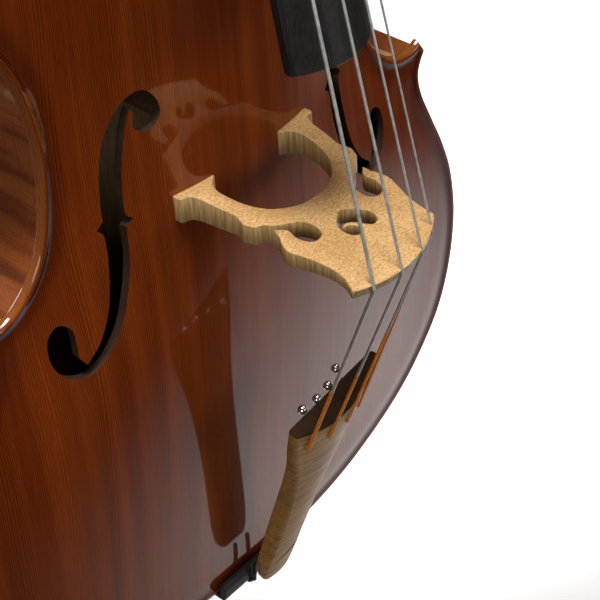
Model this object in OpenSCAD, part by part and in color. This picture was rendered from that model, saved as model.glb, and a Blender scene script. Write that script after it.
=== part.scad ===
// Double bass, three-quarter size, standing upright on its endpin.
// The origin is the middle of the endpin's rubber tip, on the floor. +Z points up to the scroll,
// the top plate faces -Y, and the treble side is +X.
// The body, neck and strings are drawn from the bridge line: the middle of the bridge's feet, on
// the face of the bridge that looks at the fingerboard. There x is across, y is into the body and
// z points to the scroll. The head is drawn from the nut, and the tailpiece from its narrow end.

/* [Stance] */
// Height of the body's lower edge above the floor
body_height = 170; // [150:1:220]

/* [Body] */
// Thickness of the top and back plates
plate_t = 8; // [6:0.5:9]
// Depth of the ribs at the lower bout
rib_depth = 190; // [180:1:200]
// Thickness of the rib strips
rib_t = 2.2; // [1.6:0.1:3]
// How far the plates stand out past the ribs
overhang = 4.5; // [3:0.5:6]
// Height of the top plate's arch above its edge
top_arch = 32; // [28:1:36]
// Height of the back plate's arch above its edge
back_arch = 26; // [20:1:30]
// How much shallower the body is at the neck than at the lower bout
neck_taper = 34; // [20:1:40]
// Width of the inlaid purfling
purfling_w = 2.6; // [1.5:0.1:3]

/* [Strings] */
// Length of the strings from nut to bridge
string_length = 1055; // [1050:1:1060]
// Distance between neighbouring strings on the bridge
string_gap = 29; // [27:0.5:30]
// Diameters of the E, A, D and G strings
string_d = [3.0, 2.5, 2.1, 1.8];
// Lengths of the silk windings at the tailpiece
silk_length = [97, 100, 135, 140];

/* [Bridge] */
// Thickness of the bridge at its feet
foot_t = 23.4; // [20:0.2:26]
// Thickness of the bridge under the strings
crown_t = 8; // [7:0.5:10]
// Height of the bridge's crown above its feet
crown_h = 176; // [174:1:178]

/* [Endpin] */
// Diameter of the endpin rod
rod_d = 10; // [8:0.5:12]
// Length of the endpin rod
rod_length = 490; // [460:5:500]
// Height of the rubber tip
tip_h = 38; // [34:1:42]
// Diameter of the rubber tip's sole
sole_d = 30; // [26:1:34]

/* [Tuning machines] */
// Diameter of the string rollers
roller_d = 14; // [12:0.5:15]
// Teeth on each gear wheel
gear_teeth = 24; // [24:1:24]
// Pitch radius of each gear wheel
gear_r = 16; // [16:0.5:16]
// Width across a tuning key's two wings
key_span = 46; // [40:1:48]

/* [Hidden] */
fit = 0.06;                                // running clearance on a radius
gap = 0.3;                                 // clearance between glued or touching pieces
edge_y = top_arch;                         // outer face of the top plate's edge
rib_y = edge_y + plate_t;                  // where the ribs meet the top plate
back_y = rib_y + rib_depth;                // where the ribs meet the back plate
bridge_y = -(rib_y + rib_depth / 2);       // bridge line, from the endpin's axis
body_low = 515;                            // bridge line to the body's lower edge
body_high = 612;                           // bridge line to the body's upper edge
bridge_z = body_height + body_low;
flat_edge = 10;                            // width of the flat border round the arch
inlay_t = 1.5;                             // depth of the purfling
taper_from = 330;                          // height where the back starts to slope in
root_w = 60;                               // width of the neck's root in the body
root_z = 574;                              // lower end of the neck's root

// Half outlines of the three bouts, from the bottom of the body upwards
lower_bout = [[0, -515], [70, -510], [136, -497], [190, -476], [236, -450], [272, -418],
    [303, -377], [321, -328], [328, -270], [322, -215], [308, -172], [290, -133], [274, -98],
    [268, -74], [271, -60], [277, -50]];
middle_bout = [[268, -41], [249, -39.5], [228, -34], [209, -20], [196, 2], [187, 34], [184, 70],
    [186, 106], [193, 140], [204, 168], [218, 188], [231, 197], [243, 205]];
upper_bout = [[238, 218], [231, 234], [229, 252], [233, 277], [243, 312], [252, 352], [256, 394],
    [253, 438], [242, 482], [219, 521], [183, 553], [140, 576], [96, 591], [64, 603], [46, 612]];
half_outline = concat(spline(lower_bout, 2), spline(middle_bout, 2), spline(upper_bout, 2));
outline = concat(half_outline, [for (i = [len(half_outline) - 1:-1:1]) flip(half_outline[i])]);
// Half width over which the plates arch, without the corners
arch_width = [[-515, 62], [-480, 184], [-425, 268], [-370, 308], [-320, 323], [-267, 328],
    [-200, 316], [-130, 280], [-60, 226], [0, 192], [65, 184], [130, 192], [200, 215], [270, 236],
    [340, 251], [400, 256], [460, 247], [520, 220], [565, 165], [590, 105], [612, 60]];

// The treble f-hole: its edge nearer the middle, then its outer edge, each from eye to eye
f_inner = [[104, 87], [106, 77], [99, 69], [89, 70], [82, 80], [85, 94], [95, 105], [108, 104],
    [121, 92], [132, 70], [138, 38], [140, 3]];
f_outer = [[146, -3], [141, -11], [143, -40], [150, -74], [163, -100], [178, -115]];
f_lower = [[184, -105], [183, -92], [184, -78], [194, -69], [205, -76], [208, -91], [205, -107],
    [194, -121], [177, -126], [158, -116], [141, -94], [130, -64], [124, -38], [122, -10]];
f_notch = [[115, -4], [121, 4], [119, 40], [113, 74], [107, 93]];
f_hole = concat(spline(f_inner, 2), spline(f_outer, 2), spline(f_lower, 2), spline(f_notch, 2));

// The nut, the fingerboard and the neck
nut_z = string_length - 26;
nut_y = 109.5;                             // glue face of the neck at the nut
board_end = 131;                           // fingerboard end above the bridge line
board_fall = 196.5 / (nut_z - board_end);  // slope of the glue face
nut_gap = 11;                              // distance between strings at the nut
string_nut_y = nut_y - 15.5;

// Strings on the bridge: they cross on an arc whose middle leans to the bass side
crown_r = 108;
crown_mid = [-15.8, crown_h - 109.4];
crown_at = [for (i = [0:3]) -13.2 + 2 * asin(string_gap / 2 / crown_r) * (i - 0.23)];
bridge_pt = [for (i = [0:3]) let (r = crown_r + string_d[i] / 2 - 1)
    [crown_mid.x + r * sin(crown_at[i]), -crown_mid.y - r * cos(crown_at[i]), -25.8]];
nut_pt = [for (i = [0:3]) [(i - 1.5) * nut_gap, string_nut_y + pow(i - 1.5, 2) * 0.9, nut_z]];

// The tailpiece
tail_lean = 19.2;
tail_at = [0, -2, -502];
tail_len = 283;
tail_hole = [[-34, 258], [-12, 262], [11, 264], [32, 263]];
ball_d = 8.6;
ball_at = [[-30, -75, -217], [-12, -76, -217], [6, -73, -216], [24, -67, -212]];

// The head: rollers are listed by string, with the side of their gear and their height
head_lean = 20;
head_w = 54;
roller_y = 14;
roller_z = [38, 112, 140, 66];
roller_side = [-1, -1, 1, 1];
plate_sheet = 2;                           // thickness of the machine plates
gear_t = 6;
gear_x = head_w / 2 + plate_sheet + 1.5 + gear_t / 2;
thread_pitch = 2 * PI * gear_r / gear_teeth;
worm_core = 4;
worm_tip = 6.1;
worm_drop = gear_r + worm_core + 1.3;      // roller axis to worm axis
shaft_r = 3.6;
key_y = 68;

// The endpin
collar_r = 24;
plug_r = 15;
collar_h = 27;
collar_z = body_height + overhang - gap - collar_h;
screw_z = collar_z + 9;
screw_r = 3;

// Curves and frames
function flip(p) = [-p.x, p.y];
function mix(a, b, t) = a + (b - a) * t;
function bend(a, b, c, d, t) = 0.5 * (2 * b + (c - a) * t + (2 * a - 5 * b + 4 * c - d) * t * t
    + (3 * b - a - 3 * c + d) * t * t * t);
function spline(p, n) = let (e = len(p) - 1) concat([for (i = [0:e - 1], k = [0:n - 1])
    bend(p[max(i - 1, 0)], p[i], p[i + 1], p[min(i + 2, e)], k / n)], [p[e]]);
function left_of(a, b) = [a.y - b.y, b.x - a.x] / norm(b - a);
// The closed line p moved inwards by d
function inset(p, d) = let (n = len(p)) [for (i = [0:n - 1])
    let (u = left_of(p[(i + n - 1) % n], p[i]), v = left_of(p[i], p[(i + 1) % n]))
    p[i] + d * (u + v) / (1 + u * v)];

module from_bridge() translate([0, bridge_y, bridge_z]) children();
// A flat shape drawn in x and z, as thick as y0 to y1
module slab(y0, y1) translate([0, y1, 0]) rotate([90, 0, 0]) linear_extrude(y1 - y0) children();
// A flat shape drawn in y and z, as wide as x0 to x1
module rail(x0, x1) translate([x0, 0, 0]) rotate([90, 0, 90]) linear_extrude(x1 - x0) children();
module rod_between(p, q, r) {
    v = q - p;
    translate(p)
        rotate([0, acos(v.z / norm(v)), atan2(v.y, v.x)])
            cylinder(h = norm(v), r = r, $fn = 32);
}
module wire(points, r) {
    for (i = [0:len(points) - 2]) rod_between(points[i], points[i + 1], r);
    for (i = [1:len(points) - 2]) translate(points[i]) sphere(r * 1.05, $fn = 32);
}
// The end of a loft: point i pairs with point i from the other end of its section
function cap(n, first) = let (h = floor(n / 2)) concat([for (i = [0:h - 2])
    each [[i, i + 1, n - 2 - i], [i, n - 2 - i, n - 1 - i]]],
    n % 2 == 1 ? [[h - 1, h, h + 1]] : []) + [for (i = [1:2 * (h - 1) + n % 2]) [first, first, first]];
function turned(faces) = [for (f = faces) [f[0], f[2], f[1]]];
// A solid through closed sections that all have the same number of points
module loft(sections) {
    n = len(sections[0]);
    sides = [for (s = [0:len(sections) - 2], i = [0:n - 1]) let (a = s * n + i, b = s * n + (i + 1) % n)
        each [[a, b + n, b], [a, a + n, b + n]]];
    polyhedron([for (s = sections) each s],
        concat(sides, cap(n, 0), turned(cap(n, (len(sections) - 1) * n))));
}

// Height of a plate's arch at x, z for a given peak
function swell(t, a, b) = pow(1 - pow(min(1, abs(t)), a), b);
function arch(x, z, peak) = peak * swell(z / (z < 0 ? body_low : body_high), 2.6, 1.5)
    * swell(x / (lookup(z, arch_width) - flat_edge), 2.4, 1.6);
function taper(z) = z < taper_from ? 0
    : neck_taper * pow((z - taper_from) / (body_high - taper_from), 1.5);

// The body
plate_rows = concat([[30, -515]], [for (p = half_outline) if (p.x > 35) p]);
plate_columns = 16;
// Column j of a row: the plate's edge, the border's inner line, then even steps across
function plate_x(half, j) = j == 0 ? -half : j == plate_columns ? half
    : (half - flat_edge) * (2 * (j - 1) / (plate_columns - 2) - 1);
function plate_y(x, z, front) = front ? edge_y - arch(x, z, top_arch)
    : back_y - taper(z) + arch(x, z, back_arch);
module arched_plate(front) {
    m = plate_columns;
    n = len(plate_rows) * (m + 1);
    sheet = [for (p = plate_rows, j = [0:m]) let (x = plate_x(p.x, j))
        [x, plate_y(x, p.y, front), p.y]];
    points = concat(sheet, [for (p = sheet) p + [0, plate_t, 0]]);
    rows = len(plate_rows) - 1;
    top = [for (i = [0:rows - 1], j = [0:m - 1]) let (a = i * (m + 1) + j, b = a + m + 1)
        each [[a, b, b + 1], [a, b + 1, a + 1]]];
    rim = concat([for (j = [0:m]) j], [for (i = [1:rows]) i * (m + 1) + m],
        [for (j = [m - 1:-1:0]) rows * (m + 1) + j], [for (i = [rows - 1:-1:1]) i * (m + 1)]);
    edge = [for (i = [0:len(rim) - 1]) let (a = rim[i], b = rim[(i + 1) % len(rim)])
        each [[a, b, b + n], [a, b + n, a + n]]];
    polyhedron(points, concat(top, [for (f = top) [f[0] + n, f[2] + n, f[1] + n]], edge));
}
module f_holes() {
    slab(-40, 80) polygon(f_hole);
    mirror([1, 0, 0]) slab(-40, 80) polygon(f_hole);
}
module border(d0, d1) difference() {
    polygon(inset(outline, d0));
    polygon(inset(outline, d1));
}
module top_plate() color([0.62, 0.25, 0.11]) from_bridge() difference() {
    arched_plate(true);
    f_holes();
    translate([-root_w / 2 - gap, 0, root_z - gap]) cube([root_w + 2 * gap, 80, 80]);
    top_inlay(0.1, 6);
}
module back_plate() color([0.55, 0.22, 0.10]) from_bridge() {
    difference() {
        arched_plate(false);
        back_inlay(0.1, 6);
    }
    translate([0, back_y - taper(body_high), body_high - 8])
        rotate([-90, 0, 0]) cylinder(h = plate_t, r = root_w / 2, $fn = 48);
}
// The purfling and, grown a little and taller, the groove that it lies in
module top_inlay(grow, out) slab(edge_y - out, edge_y + inlay_t + grow) difference() {
    border(6 - grow, 6 + purfling_w + grow);
    rectangle(-root_w / 2 - 2 + grow, root_w / 2 + 2 - grow, root_z - 2 + grow, 700);
    rectangle(-50 + grow, 50 - grow, -600, -496 - grow);
}
module back_inlay(grow, out) intersection() {
    rail(-400, 400) polygon(concat([for (z = inlay_z) [inlay_y(z) - inlay_t - grow, z]],
        [for (k = [len(inlay_z) - 1:-1:0]) [inlay_y(inlay_z[k]) + out, inlay_z[k]]]));
    slab(back_y - 60, back_y + 60) difference() {
        border(6 - grow, 6 + purfling_w + grow);
        rectangle(-root_w / 2 - 2 + grow, root_w / 2 + 2 - grow, root_z - 2 + grow, 700);
    }
}
inlay_z = [-600, for (z = [taper_from:20:body_high + 38]) z];
function inlay_y(z) = back_y + plate_t - taper(z);
// Everything in front of the back plate's inner face, as a flat shape in y and z
module inside_back() polygon(concat([[rib_y + gap, -600], [back_y - gap, -600]],
    [for (z = [taper_from:20:body_high + 30]) [back_y - gap - taper(z), z]],
    [[rib_y + gap, body_high + 30]]));
module rib(side, z0, z1) color([0.50, 0.20, 0.09]) from_bridge() difference() {
    intersection() {
        slab(rib_y + gap, back_y) intersection() {
            border(overhang, overhang + rib_t);
            translate([side > 0 ? 0.2 : -400.2, z0]) square([400, z1 - z0]);
            neck_side(side);
        }
        rail(-400, 400) inside_back();
    }
    // The endpin's plug passes between the two lower ribs
    translate([0, -bridge_y, -body_low]) cylinder(h = 20, r = plug_r + gap, $fn = 64);
}
// The side of the body that a rib belongs to, clear of the neck's root
module neck_side(side) difference() {
    translate([side > 0 ? 0 : -400, -600]) square([400, 1300]);
    translate([-root_w / 2 - gap, root_z - gap]) square([root_w + 2 * gap, 80]);
}
corner_low = -50;
corner_high = 210;
module bass_upper_rib() rib(-1, corner_high + 0.1, 620);
module treble_upper_rib() rib(1, corner_high + 0.1, 620);
module bass_middle_rib() rib(-1, corner_low + 0.1, corner_high - 0.1);
module treble_middle_rib() rib(1, corner_low + 0.1, corner_high - 0.1);
module bass_lower_rib() rib(-1, -520, corner_low - 0.1);
module treble_lower_rib() rib(1, -520, corner_low - 0.1);

inner_line = overhang + rib_t + 0.2;
lining_t = 6;
lining_h = 18;
module block_areas(grow) {
    rectangle(-60 - grow, 60 + grow, -600, -472 + grow);
    rectangle(-75 - grow, 75 + grow, 548 - grow, 700);
    for (s = [-1, 1]) scale([s, 1]) {
        polygon([[212 - grow, 0], [300, 0], [300, -108 - grow], [260 - grow, -108 - grow]]);
        polygon([[204 - grow, 150 - grow], [300, 150], [300, 262 + grow], [220 - grow, 262 + grow]]);
    }
}
module rectangle(x0, x1, z0, z1) translate([x0, z0]) square([x1 - x0, z1 - z0]);
module lining(y0, y1) slab(y0, y1) difference() {
    border(inner_line, inner_line + lining_t);
    block_areas(gap);
}
module top_linings() color([0.85, 0.70, 0.48]) from_bridge() lining(rib_y + gap, rib_y + lining_h);
module back_linings() color([0.85, 0.70, 0.48]) from_bridge() intersection() {
    lining(rib_y + rib_depth - neck_taper - lining_h, back_y);
    rail(-400, 400) difference() {
        inside_back();
        translate([-lining_h, 0]) inside_back();
    }
}
module inner_block(y1) slab(rib_y + gap, y1) intersection() {
    polygon(inset(outline, inner_line));
    children();
}
module corner_blocks() color([0.82, 0.66, 0.44]) from_bridge()
    for (s = [-1, 1]) scale([s, 1, 1]) inner_block(back_y - gap) {
        union() {
            polygon([[212, 0], [300, 0], [300, -108], [260, -108]]);
            polygon([[204, 150], [300, 150], [300, 262], [220, 262]]);
        }
    }
module tail_block() color([0.82, 0.66, 0.44]) from_bridge() difference() {
    inner_block(back_y - gap) rectangle(-60, 60, -600, -472);
    translate([0, -bridge_y, -body_low]) cylinder(h = 60, r = plug_r + gap, $fn = 64);
}
module neck_block() color([0.82, 0.66, 0.44]) from_bridge() difference() {
    intersection() {
        inner_block(back_y) rectangle(-75, 75, 548, 700);
        rail(-80, 80) inside_back();
    }
    translate([-root_w / 2 - gap, 0, root_z - gap]) cube([root_w + 2 * gap, 300, 80]);
}
bar_x = -48;
bar_half = 9;
function bar_y(z) = plate_y(bar_x - bar_half - 3, z, true) + plate_t + gap;
module bass_bar() color([0.88, 0.74, 0.52]) from_bridge() rail(bar_x - bar_half, bar_x + bar_half)
    polygon(concat([for (z = [-300:30:330]) [bar_y(z), z]],
        [for (z = [330:-30:-300]) [bar_y(z) + 6 + 22 * cos(90 * z / 330), z]]));
post_at = [55, -48];
post_r = 9;
module sound_post() color([0.90, 0.78, 0.58]) from_bridge() {
    front = plate_y(post_at.x + post_r, post_at.y - post_r, true) + plate_t + gap;
    back = plate_y(post_at.x + post_r, post_at.y - post_r, false) - gap;
    translate([post_at.x, front, post_at.y])
        rotate([-90, 0, 0]) cylinder(h = back - front, r = post_r, $fn = 48);
}

// The bridge
leg = [[79.5, 0], [79, 1.5], [71, 4], [67.6, 12], [65, 30], [62.6, 44], [65.3, 55], [62, 64]];
slot = [[56, 66], [49, 73.5], [40, 79], [32, 84], [28, 93], [29, 103], [36, 107.5], [44, 105],
    [48, 95], [46.5, 84], [54, 76]];
bass_shoulder = [[57, 85], [62.5, 93], [64.5, 101], [61.5, 110], [57.5, 125], [56, 139], [57.5, 150],
    [61, 158]];
treble_shoulder = [[55, 85], [58, 93], [58.5, 101], [55.5, 112], [51.5, 124], [49.8, 133], [49, 143]];
arch_under = [[0, 73], [15, 71.5], [29, 64.5], [39, 55.5], [46, 43], [49.4, 29], [50.3, 14],
    [46, 5], [38.5, 0]];
heart_half = [[0, 97.5], [9, 104], [15.5, 114], [14.5, 123], [7, 126], [0, 121]];
crown = [for (k = [0:16]) let (x = mix(49, -63.8, k / 16))
    [x, crown_mid.y + sqrt(crown_r * crown_r - pow(x - crown_mid.x, 2))]];
function bridge_side(shoulder) = concat(spline(arch_under, 2), [[38.5, -7], [79.5, -7]],
    spline(leg, 2), spline(slot, 2), spline(shoulder, 2));
// The left side of a curve, from its last point back to its first
function left_back(p, first) = [for (k = [len(p) - 1:-1:first]) flip(p[k])];
bridge_outline = concat(bridge_side(treble_shoulder), crown, left_back(bridge_side(bass_shoulder), 1));
heart = spline(heart_half, 2);
module bridge() color([0.86, 0.70, 0.48]) from_bridge() difference() {
    intersection() {
        translate([0, 0, -40]) linear_extrude(60) scale([1, -1])
            difference() {
                polygon(bridge_outline);
                polygon(concat(heart, left_back(heart, 1)));
            }
        rail(-100, 100) polygon([[10, 0], [10, -foot_t], [0, -foot_t],
            [-180, -25.8 - crown_t / 2], [-180, -25.8 + crown_t / 2], [0, 0]]);
    }
    // The feet follow the top plate, and each string has its groove
    loft([for (z = [-33, -15, 5]) concat([[-90, 30, z]],
        [for (x = [-90:10:90]) [x, plate_y(x, z, true) - 0.3, z]], [[90, 30, z]])]);
    for (i = [0:3]) let (p = bridge_pt[i], r = string_d[i] / 2 * 1.05 + 0.1) rail(p.x - r, p.x + r)
        polygon([[along(p, nut_pt[i], 12) + r, p.z + 12], [p.y + r, p.z],
            [along(p, silk_pt(i), -12) + r, p.z - 12], [p.y - 15, p.z - 12], [p.y - 15, p.z + 12]]);
}
// y on the line from p to q, at height dz above p
function along(p, q, dz) = p.y + (q.y - p.y) * dz / (q.z - p.z);

// The fingerboard, nut and neck
function board_y(z) = nut_y - (nut_z - z) * board_fall;
function board_half(z, cut) = mix(45, 21.5, (z - board_end) / (nut_z - board_end)) - cut;
function board_section(z, cut) = let (w = board_half(z, cut), r = mix(70, 60, (z - board_end) / 900),
    side = 9, sag = r - sqrt(r * r - w * w), m = 12)
    concat([for (i = [0:m]) let (x = w * (2 * i / m - 1))
        [x, board_y(z) - side - sag + r - sqrt(r * r - x * x) + cut, z]],
        [[w, board_y(z) + cut, z], [-w, board_y(z) + cut, z]]);
module fingerboard() color([0.07, 0.065, 0.06]) from_bridge() difference() {
    loft([for (z = [board_end, 400, 700, nut_z - 0.2]) board_section(z, 0)]);
    // The overhanging end is hollowed underneath
    translate([0, board_y(board_end) + 48, board_end - 5]) rotate([-atan(board_fall), 0, 0])
        cylinder(h = 455, r = 60, $fn = 96);
}
module nut() color([0.05, 0.045, 0.04]) from_bridge() difference() {
    translate([-21.5, nut_y - 17, nut_z]) cube([43, 17, 8]);
    for (i = [0:3]) {
        translate(nut_pt[i] - [0, 0, 1]) cylinder(h = 4, r = string_d[i] / 2 + 0.6, $fn = 32);
        headstring(i, 0.3);
    }
    translate([0, nut_y + 30, nut_z - 1])
        difference() {
            translate([-40, -60, 0]) cube([80, 30, 12]);
            translate([0, 0, -1]) cylinder(h = 14, r = 46, $fn = 96);
        }
}
function neck_half(z) = z > 720 ? mix(27, 20.5, (z - 720) / (nut_z - 720))
    : mix(root_w / 2, 27, max(0, z - body_high) / (720 - body_high));
function neck_depth(z) = let (rise = z < 735 ? pow((735 - max(z, body_high + 26)) / 97, 3) : 0)
    mix(30, 24, (z - body_high) / (nut_z - body_high)) + 150 * rise;
function neck_section(z) = let (w = neck_half(z), y = board_y(z) + gap / 3, d = neck_depth(z), m = 14,
    square_up = z > 700 ? 1 : mix(0.35, 1, max(0, z - body_high) / (700 - body_high)))
    [for (i = [0:m]) let (a = 180 * i / m)
        [w * sign(cos(a)) * pow(abs(cos(a)), square_up), y + d * pow(sin(a), square_up), z]];
module neck() color([0.45, 0.19, 0.09]) from_bridge() intersection() {
    loft([for (z = [root_z, body_high, 638, 646, 656, 668, 684, 704, 730, 780, 860, 940, 1000, nut_z])
        neck_section(z)]);
    rail(-40, 40) polygon([[-80, 500], [back_y - taper(body_high) - gap, 500],
        [back_y - taper(body_high) - gap, 660], [nut_y + 60, 1100], [0, 1100]]);
}

// The head, drawn from the nut with z along the pegbox
module from_nut() from_bridge() translate([0, nut_y, nut_z + gap]) rotate([-head_lean, 0, 0]) children();
head_back = [[22.9, 8.7], [28, 22], [41, 60], [49, 105], [50, 150], [45, 185], [46, 205], [55, 232],
    [54, 262], [38, 287], [12, 297], [-14, 289], [-32, 269], [-38, 244], [-32, 221], [-16, 206],
    [-1, 201], [-5, 188]];
module head() color([0.45, 0.19, 0.09]) {
    difference() {
        from_nut() pegbox();
        from_bridge() for (i = [0:3]) headstring(i, 0.3);
    }
    // The volute widens turn by turn to its eye
    from_nut() for (s = [-1, 1]) scale([s, 1, 1]) translate([0, 9, 248]) {
        ear(20, 33, 36, 0, 0);
        ear(20, 42, 25, 1, 1);
        ear(20, 50, 13, 2, 0);
    }
}
module pegbox() difference() {
    rail(-head_w / 2, head_w / 2) polygon(concat([[-5, 9], [0, 8], [0, 0.3]], spline(head_back, 3)));
    translate([-17, -20, 16]) cube([34, 56, 154]);
    for (z = roller_z) translate([-40, roller_y, z]) rotate([0, 90, 0])
        cylinder(h = 80, r = roller_d / 2 + fit, $fn = 48);
}
module ear(x0, x1, r, dy, dz) translate([x0, dy, dz]) rotate([0, 90, 0])
    cylinder(h = x1 - x0, r = r, $fn = 64);

// The tuning machines
function lug_y(end) = roller_y + (end > 0 ? 13 : -21);
module machine_plate(strings) difference() {
    union() {
        rail(0, plate_sheet) translate([-6, min([for (i = strings) roller_z[i]]) - 22])
            square([40, max([for (i = strings) roller_z[i]]) - min([for (i = strings) roller_z[i]]) + 56]);
        for (i = strings, e = [-1, 1])
            translate([0, lug_y(e), roller_z[i] + worm_drop - 7]) cube([gear_x - head_w / 2 + 7, 8, 14]);
    }
    for (i = strings) {
        translate([-1, roller_y, roller_z[i]]) rotate([0, 90, 0])
            cylinder(h = 5, r = roller_d / 2 + 0.3, $fn = 48);
        translate([gear_x - head_w / 2, -20, roller_z[i] + worm_drop]) rotate([-90, 0, 0])
            cylinder(h = 60, r = shaft_r + fit, $fn = 32);
        // The thread turns in a window of the plate
        translate([-1, roller_y - 9.5, roller_z[i] + worm_drop - 5.5]) cube([plate_sheet + 2, 19, 11]);
    }
}
module bass_machine_plate() color([0.80, 0.62, 0.28]) from_nut() mirror([1, 0, 0])
    translate([head_w / 2, 0, 0]) machine_plate([0, 1]);
module treble_machine_plate() color([0.80, 0.62, 0.28]) from_nut()
    translate([head_w / 2, 0, 0]) machine_plate([3, 2]);
module machine_screws() color([0.75, 0.58, 0.26]) from_nut() for (i = [0:3], y = [0, 28])
    scale([roller_side[i], 1, 1]) translate([head_w / 2 + plate_sheet + 0.02, y, roller_z[i] - 19])
        rotate([0, 90, 0]) cylinder(h = 1.6, r = 2.6, $fn = 24);
module at_roller(i) from_nut() scale([roller_side[i], 1, 1]) translate([0, roller_y, roller_z[i]])
    rotate([0, 90, 0]) children();
journal_r = 5;
module roller(i) color([0.30, 0.14, 0.08]) at_roller(i) {
    translate([0, 0, -head_w / 2 + 1]) cylinder(h = head_w + plate_sheet, r = roller_d / 2, $fn = 48);
    translate([0, 0, 10]) cylinder(h = gear_x + gear_t / 2 - 10 + 0.5, r = journal_r, $fn = 48);
}
module gear(i) color([0.82, 0.64, 0.30]) at_roller(i) translate([0, 0, gear_x - gear_t / 2]) difference() {
    linear_extrude(gear_t) difference() {
        polygon([for (k = [0:gear_teeth - 1], t = [[-0.30, -1.2], [-0.14, 0.9], [0.14, 0.9], [0.30, -1.2]])
            let (a = 360 * (k + t[0]) / gear_teeth, r = gear_r + t[1]) [r * cos(a), r * sin(a)]]);
        for (k = [0:4]) rotate(72 * k) translate([9.6, 0]) circle(r = 2.3, $fn = 24);
    }
    translate([0, 0, -1]) cylinder(h = gear_t + 2, r = journal_r + 0.02, $fn = 48);
}
// One turn of the worm's thread is one tooth of the gear
thread_turns = 3.5;
worm_angles = [0, 55, 110, 145, 168, 192, 215, 250, 305];
module worm_section() polygon([for (a = worm_angles)
    let (r = abs(a - 180) < 20 ? worm_tip : worm_core) [r * cos(a), r * sin(a)]]);
module key(i) color([0.82, 0.64, 0.30]) from_nut() scale([roller_side[i], 1, 1])
    translate([gear_x, roller_y, roller_z[i] + worm_drop]) rotate([-90, 0, 0]) {
        translate([0, 0, -worm_half]) linear_extrude(2 * worm_half,
            twist = -360 * thread_turns, slices = 8 * thread_turns) rotate(worm_phase) worm_section();
        translate([0, 0, -22]) cylinder(h = 22 - worm_half, r = shaft_r, $fn = 32);
        translate([0, 0, worm_half])
            cylinder(h = key_y - roller_y + 2 - worm_half, r = shaft_r, $fn = 32);
        translate([0, 0, key_y - roller_y - 8]) cylinder(h = 10, r = 6, $fn = 32);
        translate([0, 0, key_y - roller_y]) key_wings();
    }
worm_half = thread_pitch * thread_turns / 2;
// A tooth of the gear points at the worm, so the thread passes half a pitch to either side
worm_phase = -270 - 180 * thread_turns;
module key_wings() rotate([90, 0, 0]) translate([0, 0, -2.2]) linear_extrude(4.4)
    for (s = [-1, 1]) scale([s, 1]) polygon(spline([[0, 0], [5, 1], [12, 4], [19, 9],
        [key_span / 2, 19], [21, 28], [13, 31], [5, 26], [0, 23]], 3));
module roller_e() roller(0);
module roller_a() roller(1);
module roller_d_string() roller(2);
module roller_g() roller(3);
module gear_e() gear(0);
module gear_a() gear(1);
module gear_d() gear(2);
module gear_g() gear(3);
module key_e() key(0);
module key_a() key(1);
module key_d() key(2);
module key_g() key(3);

// The strings. Each runs in a lane beside the turns already wound on its roller
lane_x = [-13, -4, 5, 13];
lane_step = [1, -1, 1, -1];
wound_d = [for (d = string_d) d + 0.4];
function from_head(p) = [p.x, nut_y + p.y * cos(head_lean) + p.z * sin(head_lean),
    nut_z + gap + p.z * cos(head_lean) - p.y * sin(head_lean)];
function roller_pt(i) = from_head([lane_x[i], roller_y - roller_d / 2 - wound_d[i] / 2 - 0.4,
    roller_z[i]]);
function from_tail(p) = tail_at + [p.x, p.y * cos(tail_lean) - p.z * sin(tail_lean),
    p.y * sin(tail_lean) + p.z * cos(tail_lean)];
function tail_pt(i) = from_tail([tail_hole[i].x, tail_front(tail_hole[i].x, tail_hole[i].y)
    - wound_d[i] / 2 - 0.3, tail_hole[i].y]);
function silk_pt(i) = let (v = bridge_pt[i] - tail_pt(i)) tail_pt(i) + v * silk_length[i] / norm(v);
module string(i) color([0.72, 0.72, 0.74]) from_bridge()
    wire([silk_pt(i), bridge_pt[i], nut_pt[i]], string_d[i] / 2);
module winding(i) color([0.85, 0.38, 0.12]) from_nut() for (k = [1:3])
    translate([lane_x[i] + lane_step[i] * k * (wound_d[i] + 0.15), roller_y, roller_z[i]])
        rotate([0, 90, 0]) rotate_extrude($fn = 48)
            translate([roller_d / 2 + wound_d[i] / 2 + 0.02, 0]) circle(r = wound_d[i] / 2, $fn = 24);
module string_e() string(0);
module string_a() string(1);
module string_d_string() string(2);
module string_g() string(3);
module winding_e() winding(0);
module winding_a() winding(1);
module winding_d() winding(2);
module winding_g() winding(3);
module string_silks() color([0.85, 0.38, 0.12]) from_bridge() for (i = [0:3]) {
    wire([silk_pt(i), tail_pt(i), mix(tail_pt(i), ball_at[i], 0.75)], wound_d[i] / 2);
    headstring(i, 0);
}
module headstring(i, grow)
    rod_between(mix(nut_pt[i], roller_pt(i), 0.01), roller_pt(i), wound_d[i] / 2 + grow);
module string_balls() color([0.8, 0.8, 0.82]) from_bridge() for (i = [0:3])
    translate(ball_at[i]) difference() {
        sphere(ball_d / 2, $fn = 32);
        rod_between([0, 0, 0], (tail_pt(i) - ball_at[i]) / 4, wound_d[i] / 2 + 0.05);
    }

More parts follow.
